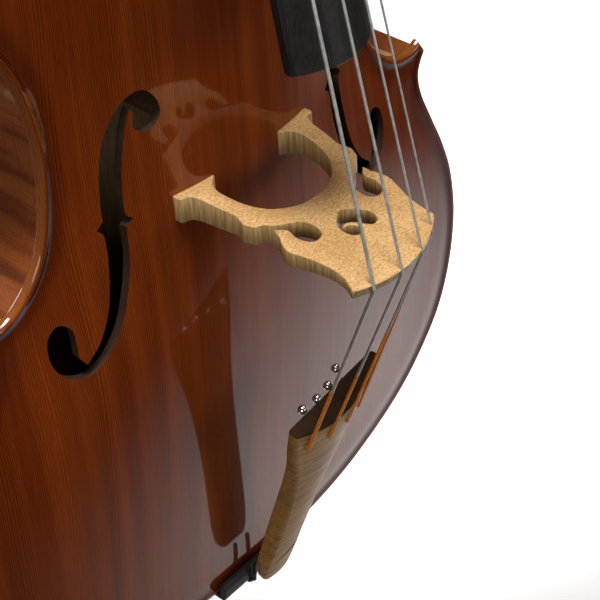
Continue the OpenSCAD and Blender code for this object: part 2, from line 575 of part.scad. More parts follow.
// The tailpiece, drawn from its narrow end with z towards the bridge
tail_half = [[0, 13], [6, 18], [16, 20], [70, 20.5], [130, 22], [175, 26], [215, 33], [250, 43],
    [tail_len, 50]];
tail_thick = [[0, 11], [20, 14], [tail_len, 18]];
function tail_skew(x) = 34 * pow(max(0, (x + 50) / 100), 3);
function tail_front(x, z) = let (w = lookup(z, tail_half)) mix(0.12, 0.24, z / tail_len) * x * x / w;
function tail_section(z) = let (w = lookup(z, tail_half), t = lookup(z, tail_thick), m = 10)
    concat([for (i = [0:m]) let (x = w * (2 * i / m - 1)) tail_point(x, tail_front(x, z), z)],
        [for (i = [m:-1:0]) let (x = w * (2 * i / m - 1)) tail_point(x, t + tail_front(x, z) * 0.3, z)]);
function tail_point(x, y, z) = [x, y, z + tail_skew(x) * pow(z / tail_len, 2)];
module tailpiece() color([0.50, 0.36, 0.20]) from_bridge() difference() {
    translate(tail_at) rotate([tail_lean, 0, 0])
        loft([for (z = [0, 6, 16, 40, 70, 100, 130, 155, 175, 195, 215, 232, 250, 267, tail_len])
            tail_section(z)]);
    for (i = [0:3]) {
        rod_between(tail_pt(i) - (ball_at[i] - tail_pt(i)) * 0.4, ball_at[i]
            + (ball_at[i] - tail_pt(i)) * 0.3, wound_d[i] / 2 + 0.7);
        translate(ball_at[i]) sphere(ball_d / 2 + gap, $fn = 32);
    }
}
module saddle() color([0.05, 0.045, 0.04]) from_bridge()
    difference() {
        rail(-48, 48) polygon([[25, -498], [23, -505], [23, -514], [26, -519.5], [46, -519.5],
            [46, -515.2], [edge_y - 1, -515.2], [edge_y - 3, -498]]);
        tail_wires(wire_r + 0.15);
    }
wire_r = 2.2;
module tail_wires(r) for (s = [-1, 1])
    wire([[s * 9, 16.5, -486], [s * 9, 19, -503], [s * 9.5, 21.5 - wire_r + 1.2, -516],
        [s * 10, 27, -522.3], [s * 16, 60, -522.3], [s * 26.5, 118, -521.5],
        [s * 26.5, 142, -521.5]], r);
module tail_wire() color([0.12, 0.11, 0.10]) from_bridge() tail_wires(wire_r);

// The endpin
module endpin_collar() color([0.08, 0.07, 0.06]) difference() {
    union() {
        translate([0, 0, collar_z]) cylinder(h = collar_h, r = collar_r, $fn = 64);
        translate([0, 0, collar_z]) cylinder(h = collar_h + 45, r = plug_r, $fn = 64);
    }
    translate([0, 0, collar_z - 1]) cylinder(h = collar_h + 48, r = rod_d / 2 + fit, $fn = 48);
    translate([0, 0, screw_z]) rotate([0, 90, 0]) cylinder(h = 40, r = screw_r + fit, $fn = 32);
}
module endpin_rod() color([0.7, 0.7, 0.72]) translate([0, 0, 8])
    cylinder(h = rod_length, r = rod_d / 2, $fn = 48);
module endpin_tip() color([0.06, 0.06, 0.06]) difference() {
    rotate_extrude($fn = 64) polygon([[0, 0], [sole_d / 2 - 1, 0], [sole_d / 2, 1], [sole_d / 2, 8],
        [sole_d / 2 - 3, 16], [9.5, tip_h - 3], [8.5, tip_h], [0, tip_h]]);
    translate([0, 0, 8 - 0.02]) cylinder(h = 60, r = rod_d / 2 + 0.02, $fn = 48);
}
module thumb_screw() color([0.75, 0.73, 0.7]) translate([0, 0, screw_z]) rotate([0, 90, 0]) {
    translate([0, 0, rod_d / 2 + 0.3]) cylinder(h = 32, r = screw_r, $fn = 32);
    translate([0, 0, 30]) cylinder(h = 7, r = 5.5, $fn = 32);
    translate([0, 2, 34]) rotate([90, 0, 0]) linear_extrude(4)
        for (s = [-1, 1]) scale([s, 1]) polygon(spline([[0, 0], [5, 0], [11, 4], [16, 10],
            [14, 15], [8, 14], [4, 9], [0, 7]], 3));
}

// Purfling, let into a groove round each plate
module top_purfling() color([0.10, 0.06, 0.04]) from_bridge() top_inlay(0, 0);
module back_purfling() color([0.10, 0.06, 0.04]) from_bridge() back_inlay(0, 0);

top_plate();
back_plate();
bass_upper_rib();
treble_upper_rib();
bass_middle_rib();
treble_middle_rib();
bass_lower_rib();
treble_lower_rib();
top_linings();
back_linings();
neck_block();
tail_block();
corner_blocks();
bass_bar();
sound_post();
top_purfling();
back_purfling();
neck();
fingerboard();
nut();
head();
bass_machine_plate();
treble_machine_plate();
machine_screws();
roller_e();
roller_a();
roller_d_string();  // roller_d
roller_g();
gear_e();
gear_a();
gear_d();
gear_g();
key_e();
key_a();
key_d();
key_g();
winding_e();
winding_a();
winding_d();
winding_g();
string_e();
string_a();
string_d_string();  // string_d
string_g();
string_silks();
string_balls();
bridge();
tailpiece();
tail_wire();
saddle();
endpin_collar();
endpin_rod();
endpin_tip();
thumb_screw();
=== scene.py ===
# The looks of a three-quarter double bass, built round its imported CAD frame.
# Shapes are worked out in millimetres from the bridge line: x to the treble side, y into the body,
# z to the scroll. place() turns them into the frame's metres.
import math

import bmesh
import bpy
import numpy as np
from mathutils import Matrix, Vector
from mathutils.geometry import delaunay_2d_cdt


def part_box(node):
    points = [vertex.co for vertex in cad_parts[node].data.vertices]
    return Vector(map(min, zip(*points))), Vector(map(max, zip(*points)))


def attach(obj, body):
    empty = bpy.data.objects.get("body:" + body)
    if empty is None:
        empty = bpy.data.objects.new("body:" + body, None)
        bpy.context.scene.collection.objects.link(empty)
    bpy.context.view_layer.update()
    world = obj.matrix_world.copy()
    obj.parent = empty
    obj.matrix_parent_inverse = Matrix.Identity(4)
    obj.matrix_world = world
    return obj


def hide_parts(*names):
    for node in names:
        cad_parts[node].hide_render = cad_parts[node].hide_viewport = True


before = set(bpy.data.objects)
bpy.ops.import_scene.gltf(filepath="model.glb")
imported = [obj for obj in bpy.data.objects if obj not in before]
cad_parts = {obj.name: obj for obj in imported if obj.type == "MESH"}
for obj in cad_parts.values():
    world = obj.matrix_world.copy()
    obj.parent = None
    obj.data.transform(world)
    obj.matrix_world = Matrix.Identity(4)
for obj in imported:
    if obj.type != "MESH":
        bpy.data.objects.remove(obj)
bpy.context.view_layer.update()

MM = 0.001
EDGE_Y = 32.0          # outer face of the top plate's border
PLATE_T = 8.0
BACK_Y = 238.0         # outer face of the back plate's border
BODY_LOW, BODY_HIGH = 515.0, 612.0     # the body's reach under and over the bridge line
ORIGIN = np.array([0.0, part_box("top_plate")[1].y - (EDGE_Y + PLATE_T) * MM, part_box("bridge")[1].z])


def place(points):
    return np.asarray(points, float) * MM + ORIGIN


# ---- curves and meshes

def along(points, step):
    """The path through the points in straight lines, as points about a step apart."""
    p = np.asarray(points, float)
    run = np.r_[0, np.cumsum(np.linalg.norm(np.diff(p, axis=0), axis=1))]
    at = np.linspace(0, run[-1], max(2, round(run[-1] / step)) + 1)
    return np.column_stack([np.interp(at, run, column) for column in p.T])


def spline(points, step, closed=False):
    """A smooth curve through the points, as points about a step apart."""
    p = np.asarray(points, float)
    p = np.vstack([p[-1], p, p[:2]]) if closed else np.vstack([2 * p[0] - p[1], p, 2 * p[-1] - p[-2]])
    a, b, c, d = (p[i:len(p) - 3 + i, None] for i in range(4))
    t = np.linspace(0, 1, 13)[:-1, None]
    fine = 0.5 * (2 * b + (c - a) * t + (2 * a - 5 * b + 4 * c - d) * t**2 + (3 * b - a - 3 * c + d) * t**3)
    made = along(np.vstack([fine.reshape(-1, p.shape[1]), p[-2]]), step)
    return made[:-1] if closed else made


def smooth_table(table, at):
    """The table's value at each place, on one smooth curve."""
    t = np.asarray(table, float)
    slope = np.gradient(t[:, 1], t[:, 0])
    k = np.clip(np.searchsorted(t[:, 0], at) - 1, 0, len(t) - 2)
    h = t[k + 1, 0] - t[k, 0]
    s = np.clip((at - t[k, 0]) / h, 0, 1)
    return ((2 * s**3 - 3 * s**2 + 1) * t[k, 1] + (s**3 - 2 * s**2 + s) * h * slope[k]
            + (3 * s**2 - 2 * s**3) * t[k + 1, 1] + (s**3 - s**2) * h * slope[k + 1])


def mirrored(half):
    """A closed outline from its treble half, whose first point may lie on the middle line."""
    other = half[::-1] * [-1, 1]
    if abs(half[-1, 0]) < 1e-6:
        other = other[1:]
    if abs(half[0, 0]) < 1e-6:
        other = other[:-1]
    return np.vstack([half, other])


def area(line):
    """The area in a closed line, which is negative where the line runs clockwise."""
    x, y = line.T
    return 0.5 * np.sum(x * np.roll(y, -1) - np.roll(x, -1) * y)


def anticlockwise(line):
    return line if area(line) > 0 else line[::-1]


def left_normals(line):
    """Unit vectors to the left of a closed line, at its points."""
    step = np.roll(line, -1, 0) - line
    step /= np.linalg.norm(step, axis=1)[:, None]
    left = np.column_stack([-step[:, 1], step[:, 0]])
    before = np.roll(left, 1, 0)
    return (before + left) / np.maximum(1 + (before * left).sum(1), 0.35)[:, None]


def distance(points, line):
    """Each point's distance to a closed line."""
    a, b = line, np.roll(line, -1, 0)
    d = b - a
    long = np.maximum((d * d).sum(1), 1e-9)
    found = []
    for some in np.array_split(points, max(1, len(points) // 2000)):
        v = some[:, None] - a
        t = np.clip((v * d).sum(2) / long, 0, 1)
        found.append(np.sqrt(((v - t[..., None] * d) ** 2).sum(2).min(1)))
    return np.concatenate(found)


def inside(points, line):
    """Whether each point lies inside a closed line."""
    a, b = line, np.roll(line, -1, 0)
    found = []
    for some in np.array_split(points, max(1, len(points) // 2000)):
        x, y = some[:, :1], some[:, 1:]
        spans = (a[:, 1] > y) != (b[:, 1] > y)
        rise = np.where(np.abs(b[:, 1] - a[:, 1]) < 1e-12, 1e-12, b[:, 1] - a[:, 1])
        cross = a[:, 0] + (y - a[:, 1]) / rise * (b[:, 0] - a[:, 0])
        found.append((spans & (x < cross)).sum(1) % 2 == 1)
    return np.concatenate(found)


def grid(line, pitch):
    """Points on a triangular grid over the box of a line."""
    low, high = line.min(0), line.max(0)
    rows = np.arange(low[1], high[1], pitch * 0.866)
    across = np.arange(low[0] - pitch, high[0] + pitch, pitch)
    return np.array([[x + (pitch / 2 if k % 2 else 0), y] for k, y in enumerate(rows) for x in across])


def triangulate(loops, extra):
    """Triangles between the first loop and the others. The loops' points come first, then the extra ones."""
    points = np.vstack([*loops, extra])
    edges, first = [], 0
    for loop in loops:
        n = len(loop)
        edges += [(first + i, first + (i + 1) % n) for i in range(n)]
        first += n
    got = delaunay_2d_cdt([Vector(p) for p in points], edges, [], 0, 1e-7)
    faces = np.array(got[2])
    where = np.array([v[:] for v in got[0]])
    origin = np.full(len(where), -1)
    for k, source in enumerate(got[3]):
        if source:
            origin[k] = source[0]
    faces = faces[(origin[faces] >= 0).all(1)]
    middle = where[faces].mean(1)
    keep = inside(middle, loops[0])
    for hole in loops[1:]:
        keep &= ~inside(middle, hole)
    return points, origin[faces[keep]]


def strip(a, b, closed=True):
    """Quads between two rows of points that pair up."""
    n = len(a)
    return [(a[i], a[(i + 1) % n], b[(i + 1) % n], b[i]) for i in range(n if closed else n - 1)]


def piece(name, points, faces, finish, slot, stands_for, tags=None, sharp=38, rim=None):
    """A mesh that rides on the body and stands for CAD nodes. tags say which finish each face has."""
    mesh = bpy.data.meshes.new(name)
    mesh.from_pydata(place(points).tolist(), [], [tuple(int(i) for i in f) for f in faces])
    for m in finish:
        mesh.materials.append(m)
    if tags is not None:
        mesh.polygons.foreach_set("material_index", np.asarray(tags, np.int32))
    if rim is not None:
        mesh.attributes.new("rim", "FLOAT", "POINT").data.foreach_set("value", np.asarray(rim, np.float32))
    bm = bmesh.new()
    bm.from_mesh(mesh)
    bmesh.ops.recalc_face_normals(bm, faces=bm.faces)
    bm.to_mesh(mesh)
    bm.free()
    mesh.shade_smooth()
    mesh.set_sharp_from_angle(angle=math.radians(sharp))
    obj = bpy.data.objects.new(name, mesh)
    bpy.context.scene.collection.objects.link(obj)
    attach(obj, "root")
    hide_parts(*stands_for)


class Pile:
    """Points and faces of several shapes that make one piece."""

    def __init__(self):
        self.points, self.faces = [], []

    def add(self, points, faces):
        first = len(self.points)
        self.points += [list(p) for p in points]
        self.faces += [tuple(int(i) + first for i in f) for f in faces]


def loft(sections, caps=True):
    """Points and faces through closed sections with the same number of points."""
    n, faces = len(sections[0]), []
    for s in range(len(sections) - 1):
        faces += strip(range(s * n, s * n + n), range(s * n + n, s * n + 2 * n))
    if caps:
        faces += [tuple(range(n))[::-1], tuple(range((len(sections) - 1) * n, len(sections) * n))]
    return np.vstack(sections), faces


def tube(path, radius, around, ribs):
    """Points and faces of a tube along a path. ribs(run, angle) changes its radius by a share."""
    path = np.asarray(path, float)
    run = np.r_[0, np.cumsum(np.linalg.norm(np.diff(path, axis=0), axis=1))]
    ahead = np.gradient(path, axis=0)
    ahead /= np.linalg.norm(ahead, axis=1)[:, None]
    side = np.cross(ahead, [0.0, 1.0, 0.0])
    side /= np.linalg.norm(side, axis=1)[:, None]
    up = np.cross(side, ahead)
    a = np.linspace(0, 2 * math.pi, around, endpoint=False)
    rings = []
    for p, s, u, v in zip(path, run, side, up):
        r = radius * (1 + ribs(s, a))
        rings.append(p + (np.cos(a) * r)[:, None] * u + (np.sin(a) * r)[:, None] * v)
    return loft(rings)


# ---- materials

class Paint:
    """A material with a Principled shader, wired with short calls. Lengths are in metres."""

    def __init__(self, name, **sockets):
        self.material = bpy.data.materials.new(name)
        self.material.use_nodes = True
        self.tree = self.material.node_tree
        self.shader = self.tree.nodes["Principled BSDF"]
        for socket, value in sockets.items():
            self.shader.inputs[socket.replace("_", " ")].default_value = value
        self.where = self.node("ShaderNodeTexCoord").outputs["Object"]

    def node(self, kind, settings=None, **inputs):
        made = self.tree.nodes.new(kind)
        for key, value in (settings or {}).items():
            setattr(made, key, value)
        for key, value in inputs.items():
            self.set(made.inputs[key.replace("_", " ")], value)
        return made

    def set(self, socket, value):
        if isinstance(value, bpy.types.NodeSocket):
            self.tree.links.new(value, socket)
        else:
            socket.default_value = value

    def to(self, socket, value):
        self.set(self.shader.inputs[socket], value)

    def mapping(self, vector, **settings):
        return self.node("ShaderNodeMapping", Vector=vector, **settings).outputs[0]

    def axis(self, name):
        return self.node("ShaderNodeSeparateXYZ", Vector=self.where).outputs[name]

    def noise(self, way, detail, roughness=0.5, distortion=0.0):
        """Noise over a vector, or over the place on the object, scaled by three numbers."""
        vector = self.mapping(self.where, Scale=way) if isinstance(way, tuple) else way
        return self.node("ShaderNodeTexNoise", Vector=vector, Scale=1.0, Detail=detail, Roughness=roughness,
                         Distortion=distortion).outputs["Fac"]

    def math(self, operation, a, b=0.0):
        made = self.node("ShaderNodeMath", {"operation": operation})
        self.set(made.inputs[0], a)
        self.set(made.inputs[1], b)
        return made.outputs[0]

    def ramp(self, value, stops, smooth=False):
        made = self.node("ShaderNodeValToRGB", Fac=value)
        made.color_ramp.interpolation = "EASE" if smooth else "LINEAR"
        slots = made.color_ramp.elements
        while len(slots) < len(stops):
            slots.new(0.5)
        for slot, (at, colour) in zip(slots, stops):
            slot.position = at
            slot.color = (*colour, 1) if isinstance(colour, tuple) else (colour, colour, colour, 1)
        return made.outputs[0]

    def mix(self, share, a, b, way="MIX"):
        made = self.node("ShaderNodeMix", {"data_type": "RGBA", "blend_type": way})
        for socket, value in zip((made.inputs[0], made.inputs[6], made.inputs[7]), (share, a, b)):
            self.set(socket, (*value, 1) if isinstance(value, tuple) else value)
        return made.outputs[2]

    def bump(self, height, strength, depth):
        return self.node("ShaderNodeBump", Height=height, Strength=strength, Distance=depth).outputs[0]

    def tag(self, name):
        return self.node("ShaderNodeAttribute", {"attribute_name": name}).outputs["Fac"]

    def blend(self, a, b, value, *stops):
        """Colour a goes over to b by the share that the stops give for the value."""
        return self.mix(self.ramp(value, stops), a, b)

    def stain(self, a, b, value, *stops):
        """Colour a is multiplied by b by the share that the stops give for the value."""
        return self.mix(self.ramp(value, stops), a, b, "MULTIPLY")

    def done(self, colour, wear, roughness, height, strength, depth):
        """The material with its colour, its roughness where wear is 0.3 and 0.7, and its relief."""
        self.to("Base Color", colour)
        self.to("Roughness", self.ramp(wear, list(zip((0.3, 0.7), roughness))))
        self.to("Normal", self.bump(height, strength, depth))
        return self.material


RIM_SPAN = 50.0        # millimetres of the "rim" attribute over the whole of a ramp
RING_WIDTH = 0.0019    # of the spruce, in metres


def varnish(paint, wood, fine, edge):
    """Red-brown varnish over a wood's light and dark, thin on the rim, with painted shade darkening its
    channel.
    """
    cloud = paint.noise((3, 3, 2), detail=2)
    colour = paint.stain(wood, (0.62, 0.42, 0.30), cloud, (0.35, 0.0), (0.68, 0.6))
    if edge:
        rim = paint.math("MULTIPLY", paint.tag("rim"), 1 / RIM_SPAN)
        wear = paint.noise((60, 60, 25), detail=4)
        worn = paint.math("ADD", rim, paint.math("MULTIPLY", wear, 0.07))
        colour = paint.blend(colour, (0.40, 0.155, 0.045), worn, (0.04, 0.42), (0.10, 0.0))
        # The purfling's two dark lines, 6 to 8.6 mm from the edge
        lines = ((0.118, 0.0), (0.12, 1.0), (0.132, 1.0), (0.134, 0.12), (0.156, 0.12), (0.158, 1.0),
                 (0.170, 1.0), (0.172, 0.0))
        colour = paint.blend(colour, (0.012, 0.006, 0.004), rim, *lines)
        # Painted shade: the border's channel, about 4 to 27 mm from the edge, is darkened as if in shadow
        shade = paint.ramp(rim, [(0.08, 0.0), (0.17, 0.62), (0.30, 0.5), (0.55, 0.0)], True)
        colour = paint.mix(shade, colour, (0.38, 0.25, 0.18), "MULTIPLY")
    marks = paint.noise((700, 700, 500), detail=2)
    ripple = paint.noise((130, 130, 10), detail=2)
    relief = paint.math("ADD", ripple, paint.math("MULTIPLY", fine, 0.1))
    paint.to("Coat Normal", paint.bump(relief, 0.12, 0.00012))
    return paint.done(colour, marks, (0.30, 0.46), fine, 0.25, 0.00006)


def spruce_varnished():
    paint = Paint("spruce_varnished", Coat_Weight=1.0, Coat_Roughness=0.045, Coat_IOR=1.5,
                  Specular_IOR_Level=0.02)
    across = paint.math("ABSOLUTE", paint.axis("X"))
    sway = paint.math("MULTIPLY", paint.noise((9, 9, 1.3), detail=2), 9.0)
    uneven = paint.math("MULTIPLY", paint.noise((45, 2, 0.4), detail=1), 7.0)
    even = paint.math("MULTIPLY", across, 1 / RING_WIDTH)
    rings = paint.math("ADD", paint.math("ADD", even, sway), uneven)
    line = paint.ramp(paint.math("FRACT", rings), [(0.0, 0.1), (0.45, 0.25), (0.82, 1.0), (0.93, 0.9),
                                                   (1.0, 0.1)])
    fibre = paint.noise((1500, 900, 28), detail=3)
    band = paint.noise((60, 20, 1.1), detail=3, roughness=0.6)
    light = paint.blend((0.235, 0.039, 0.004), (0.37, 0.068, 0.007), band, (0.30, 0.0), (0.70, 1.0))
    grain = paint.math("MULTIPLY", line, paint.ramp(band, [(0.3, 0.85), (0.7, 0.5)]))
    wood = paint.mix(grain, light, (0.080, 0.013, 0.002))
    wood = paint.stain(wood, (0.5, 0.42, 0.36), fibre, (0.35, 0.4), (0.62, 0.0))
    return varnish(paint, wood, line, True)


def maple_varnished(name, way, rim):
    """Flamed maple: way scales the flames along x, y and z."""
    paint = Paint(name, Coat_Weight=1.0, Coat_Roughness=0.06, Coat_IOR=1.5, Specular_IOR_Level=0.3)
    flame = paint.noise(way, detail=2, roughness=0.45, distortion=0.6)
    fine = paint.noise(tuple(w * 9 for w in way), detail=3)
    pores = paint.noise((900, 900, 60), detail=2)
    flame = paint.ramp(flame, [(0.36, 0.0), (0.62, 1.0)], True)
    wood = paint.mix(flame, (0.20, 0.045, 0.010), (0.40, 0.115, 0.025))
    wood = paint.stain(wood, (0.6, 0.5, 0.42), fine, (0.4, 0.35), (0.6, 0.0))
    wood = paint.stain(wood, (0.35, 0.26, 0.2), pores, (0.36, 0.5), (0.50, 0.0))
    return varnish(paint, wood, pores, rim)


def bare_wood(name, light, dark):
    paint = Paint(name, Specular_IOR_Level=0.2)
    fibre = paint.noise((700, 700, 22), detail=4)
    patch = paint.noise((30, 30, 8), detail=2)
    colour = paint.blend(dark, light, fibre, (0.35, 0.0), (0.65, 1.0))
    colour = paint.stain(colour, (0.7, 0.6, 0.5), patch, (0.3, 0.35), (0.7, 0.0))
    return paint.done(colour, fibre, (0.75, 0.55), fibre, 0.3, 0.0001)


def bridge_maple():
    """Quarter-cut maple: short brown ray flecks on the faces, and straight fibres through the edges."""
    paint = Paint("bridge_maple", Specular_IOR_Level=0.3, Coat_Weight=0.1, Coat_Roughness=0.35)
    normal = paint.node("ShaderNodeSeparateXYZ", Vector=paint.node("ShaderNodeNewGeometry").outputs["Normal"])
    facing = paint.math("ABSOLUTE", normal.outputs["Z"])
    turned = paint.mapping(paint.where, Rotation=(0, 0, 0.5), Scale=(330, 980, 250))
    flecks = paint.noise(turned, detail=1.5, roughness=0.4)
    small = paint.noise(paint.mapping(turned, Scale=(2.1, 2.4, 2)), detail=2)
    gather = paint.noise((70, 110, 60), detail=2)
    mark = paint.math("MULTIPLY", paint.ramp(flecks, [(0.36, 1.0), (0.53, 0.0)]),
                      paint.ramp(gather, [(0.32, 0.55), (0.62, 1.0)]))
    cloud = paint.noise((22, 30, 20), detail=3)
    base = paint.blend((0.60, 0.34, 0.125), (0.72, 0.445, 0.19), cloud, (0.3, 0.0), (0.7, 1.0))
    colour = paint.mix(paint.math("MULTIPLY", mark, 0.72), base, (0.33, 0.155, 0.048))
    colour = paint.blend(colour, (0.42, 0.215, 0.07), small, (0.38, 0.35), (0.50, 0.0))
    colour = paint.blend(colour, (0.86, 0.60, 0.31), flecks, (0.60, 0.0), (0.72, 0.5))
    fibres = paint.noise((620, 620, 26), detail=3)
    streaks = paint.noise((160, 160, 10), detail=2)
    edge = paint.blend((0.36, 0.205, 0.075), (0.62, 0.41, 0.18), fibres, (0.38, 0.0), (0.60, 1.0))
    edge = paint.blend(edge, (0.30, 0.17, 0.06), streaks, (0.35, 0.35), (0.6, 0.0))
    colour = paint.blend(edge, colour, facing, (0.35, 0.0), (0.75, 1.0))
    return paint.done(colour, small, (0.52, 0.38), paint.math("SUBTRACT", small, mark), 0.35, 0.00012)


def tail_maple():
    paint = Paint("tail_maple", Specular_IOR_Level=0.12)
    curl = paint.noise((9, 40, 150), detail=2, roughness=0.5, distortion=1.4)
    fine = paint.noise((40, 200, 700), detail=3, distortion=0.8)
    fibre = paint.noise((1300, 900, 40), detail=3)
    patch = paint.noise((18, 18, 9), detail=3)
    colour = paint.blend((0.42, 0.205, 0.055), (0.60, 0.34, 0.11), patch, (0.3, 0.0), (0.7, 1.0))
    colour = paint.mix(paint.ramp(curl, [(0.40, 0.55), (0.58, 0.0)], True), colour, (0.20, 0.095, 0.030))
    colour = paint.blend(colour, (0.22, 0.11, 0.036), fine, (0.42, 0.45), (0.55, 0.0))
    colour = paint.stain(colour, (0.5, 0.42, 0.34), fibre, (0.36, 0.4), (0.55, 0.0))
    return paint.done(colour, fine, (0.5, 0.36), fibre, 0.25, 0.00006)


def stained_wood(name, light, dark, rough, coat=0.0, shine=0.4):
    paint = Paint(name, Specular_IOR_Level=shine, Coat_Weight=coat, Coat_Roughness=0.2)
    fibre = paint.noise((1100, 700, 22), detail=4)
    wear = paint.noise((45, 45, 9), detail=4, roughness=0.6)
    colour = paint.blend(dark, light, fibre, (0.35, 0.0), (0.7, 1.0))
    return paint.done(colour, wear, (rough - 0.07, rough + 0.09), fibre, 0.18, 0.00005)


def metal(name, light, dark, rough, scratches=(900, 900, 900), metallic=1.0):
    """Polished metal with faint scratches and dull spots."""
    paint = Paint(name, Metallic=metallic)
    wear = paint.noise((160, 160, 160), detail=4, roughness=0.65)
    fine = paint.noise(scratches, detail=3)
    paint.to("Base Color", paint.blend(dark, light, wear, (0.35, 0.0), (0.7, 1.0)))
    dull = paint.math("ADD", paint.math("MULTIPLY", wear, 0.6), paint.math("MULTIPLY", fine, 0.4))
    paint.to("Roughness", paint.ramp(dull, [(0.3, rough), (0.75, rough + 0.22)]))
    paint.to("Normal", paint.bump(fine, 0.1, 0.00003))
    return paint.material


def silk():
    paint = Paint("silk", Sheen_Weight=0.08, Sheen_Roughness=0.4, Specular_IOR_Level=0.25)
    thread = paint.noise((900, 900, 260), detail=2)
    patch = paint.noise((120, 120, 50), detail=2)
    colour = paint.blend((0.75, 0.17, 0.012), (1.0, 0.38, 0.035), thread, (0.35, 0.0), (0.65, 1.0))
    colour = paint.stain(colour, (0.6, 0.45, 0.3), patch, (0.3, 0.3), (0.7, 0.0))
    return paint.done(colour, thread, (0.6, 0.42), thread, 0.5, 0.0002)


def rubber():
    paint = Paint("rubber", Specular_IOR_Level=0.35)
    dust = paint.noise((260, 260, 260), detail=5, roughness=0.7)
    colour = paint.blend((0.012, 0.012, 0.012), (0.05, 0.047, 0.043), dust, (0.45, 0.0), (0.75, 1.0))
    return paint.done(colour, dust, (0.62, 0.85), dust, 0.3, 0.0001)


SPRUCE = spruce_varnished()
BACK_MAPLE = maple_varnished("maple_back", (6, 30, 62), True)
RIB_MAPLE = maple_varnished("maple_ribs", (60, 4, 60), False)
NECK_MAPLE = maple_varnished("maple_neck", (12, 12, 95), False)
BARE = bare_wood("bare_spruce", (0.62, 0.42, 0.22), (0.44, 0.27, 0.12))
BRIDGE_MAPLE = bridge_maple()
TAIL_MAPLE = tail_maple()
# Dark stain of the tailpiece's wide end, also used as painted shade inside its kerf
END_STAIN_KERF_SHADE = stained_wood("tail_end_stain_kerf_shade", (0.055, 0.026, 0.011), (0.022, 0.010, 0.004), 0.75, shine=0.12)
EBONY = stained_wood("ebony", (0.022, 0.020, 0.019), (0.007, 0.0063, 0.006), 0.46)
F_WALL = stained_wood("f_hole_wall", (0.060, 0.026, 0.012), (0.022, 0.010, 0.006), 0.6)
ROLLER_WOOD = stained_wood("roller_wood", (0.10, 0.045, 0.022), (0.045, 0.018, 0.010), 0.40, 0.3)
BRASS = metal("brass", (0.78, 0.56, 0.24), (0.50, 0.33, 0.13), 0.22)
STEEL = metal("steel", (0.62, 0.61, 0.60), (0.42, 0.41, 0.40), 0.24, (900, 900, 60))
STRING = metal("string_steel", (0.72, 0.69, 0.65), (0.46, 0.44, 0.41), 0.32, (2500, 2500, 5200), 0.55)
CHROME = metal("chrome", (0.86, 0.85, 0.84), (0.66, 0.64, 0.62), 0.08)
SILK = silk()
WIRE = metal("dark_wire", (0.10, 0.09, 0.085), (0.03, 0.028, 0.026), 0.35)
RUBBER = rubber()

# ---- the body's outline and arching

# From the middle of the lower edge to the neck, along the treble side: x and z
LOWER_BOUT = [[0, -515], [70, -510], [136, -497], [190, -476], [236, -450], [272, -418], [303, -377],
              [321, -328], [328, -270], [322, -215], [308, -172], [290, -133], [274, -98], [268, -74],
              [271, -60], [277, -50]]
MIDDLE_BOUT = [[268, -37], [259, -40.9], [248, -41.8], [237, -39.6], [225, -33.5], [210, -20], [197, 0],
               [188, 32], [184, 70], [186, 106], [193, 140], [204, 168], [218, 188], [231, 197], [243, 205]]
UPPER_BOUT = [[238, 218], [231, 234], [229, 252], [233, 277], [243, 312], [252, 352], [256, 394],
              [253, 438], [242, 482], [219, 521], [183, 553], [140, 576], [96, 591], [64, 603], [46, 612]]
# Half width of the arched part, by z
ARCH_WIDTH = [[-515, 62], [-480, 184], [-425, 268], [-370, 308], [-320, 323], [-267, 328], [-200, 316],
              [-130, 280], [-60, 226], [0, 192], [65, 184], [130, 192], [200, 215], [270, 236],
              [340, 251], [400, 256], [460, 247], [520, 220], [565, 165], [590, 105], [612, 60]]
TOP_ARCH, BACK_ARCH = 32.0, 26.0
FLAT_EDGE = 10.0
TAPER_FROM, NECK_TAPER = 330.0, 34.0   # the back slopes to the neck from here, by this much
OVERHANG, RIB_T = 4.5, 2.2
ROOT_HALF, ROOT_Z = 30.3, 573.7        # the neck's root in the top plate
OUTLINE_STEP = 3.2

# Height of the rounded border over the arch, by distance from the plate's edge
BORDER = np.array([[0, -3.4], [0.7, -1.6], [1.8, -0.4], [3.4, 0.2], [5.2, 0.0], [7.5, -0.5], [10.5, -0.95],
                   [14, -0.9], [19, -0.4], [26, 0.0]])

bouts = [spline(b, OUTLINE_STEP) for b in (LOWER_BOUT, MIDDLE_BOUT, UPPER_BOUT)]
half_outline = np.vstack(bouts)
outline = mirrored(half_outline)


def swell(t, a, b):
    return (1 - np.minimum(1, np.abs(t)) ** a) ** b


def arch(x, z, peak):
    width = smooth_table(ARCH_WIDTH, np.clip(z, -BODY_LOW, BODY_HIGH)) - FLAT_EDGE
    return peak * swell(np.where(z < 0, z / BODY_LOW, z / BODY_HIGH), 2.6, 1.5) * swell(x / width, 2.4, 1.6)


def taper(z):
    return NECK_TAPER * (np.maximum(0, z - TAPER_FROM) / (BODY_HIGH - TAPER_FROM)) ** 1.5


# ---- the plates

FINE_CELL, COARSE_CELL = 9.0, 24.0               # pitch of the outer and inner faces' points
SIDE_ROWS = ((0.5, 4.6), (0.6, 6.0), (0.25, 7.3))   # bulge and depth of the plate's rounded side
OUTSIDE, UNDERSIDE, HOLE_WALL = 0, 1, 2          # which of a plate's materials a face has
RIM_FAR = 49.0                                   # the "rim" attribute counts millimetres up to here


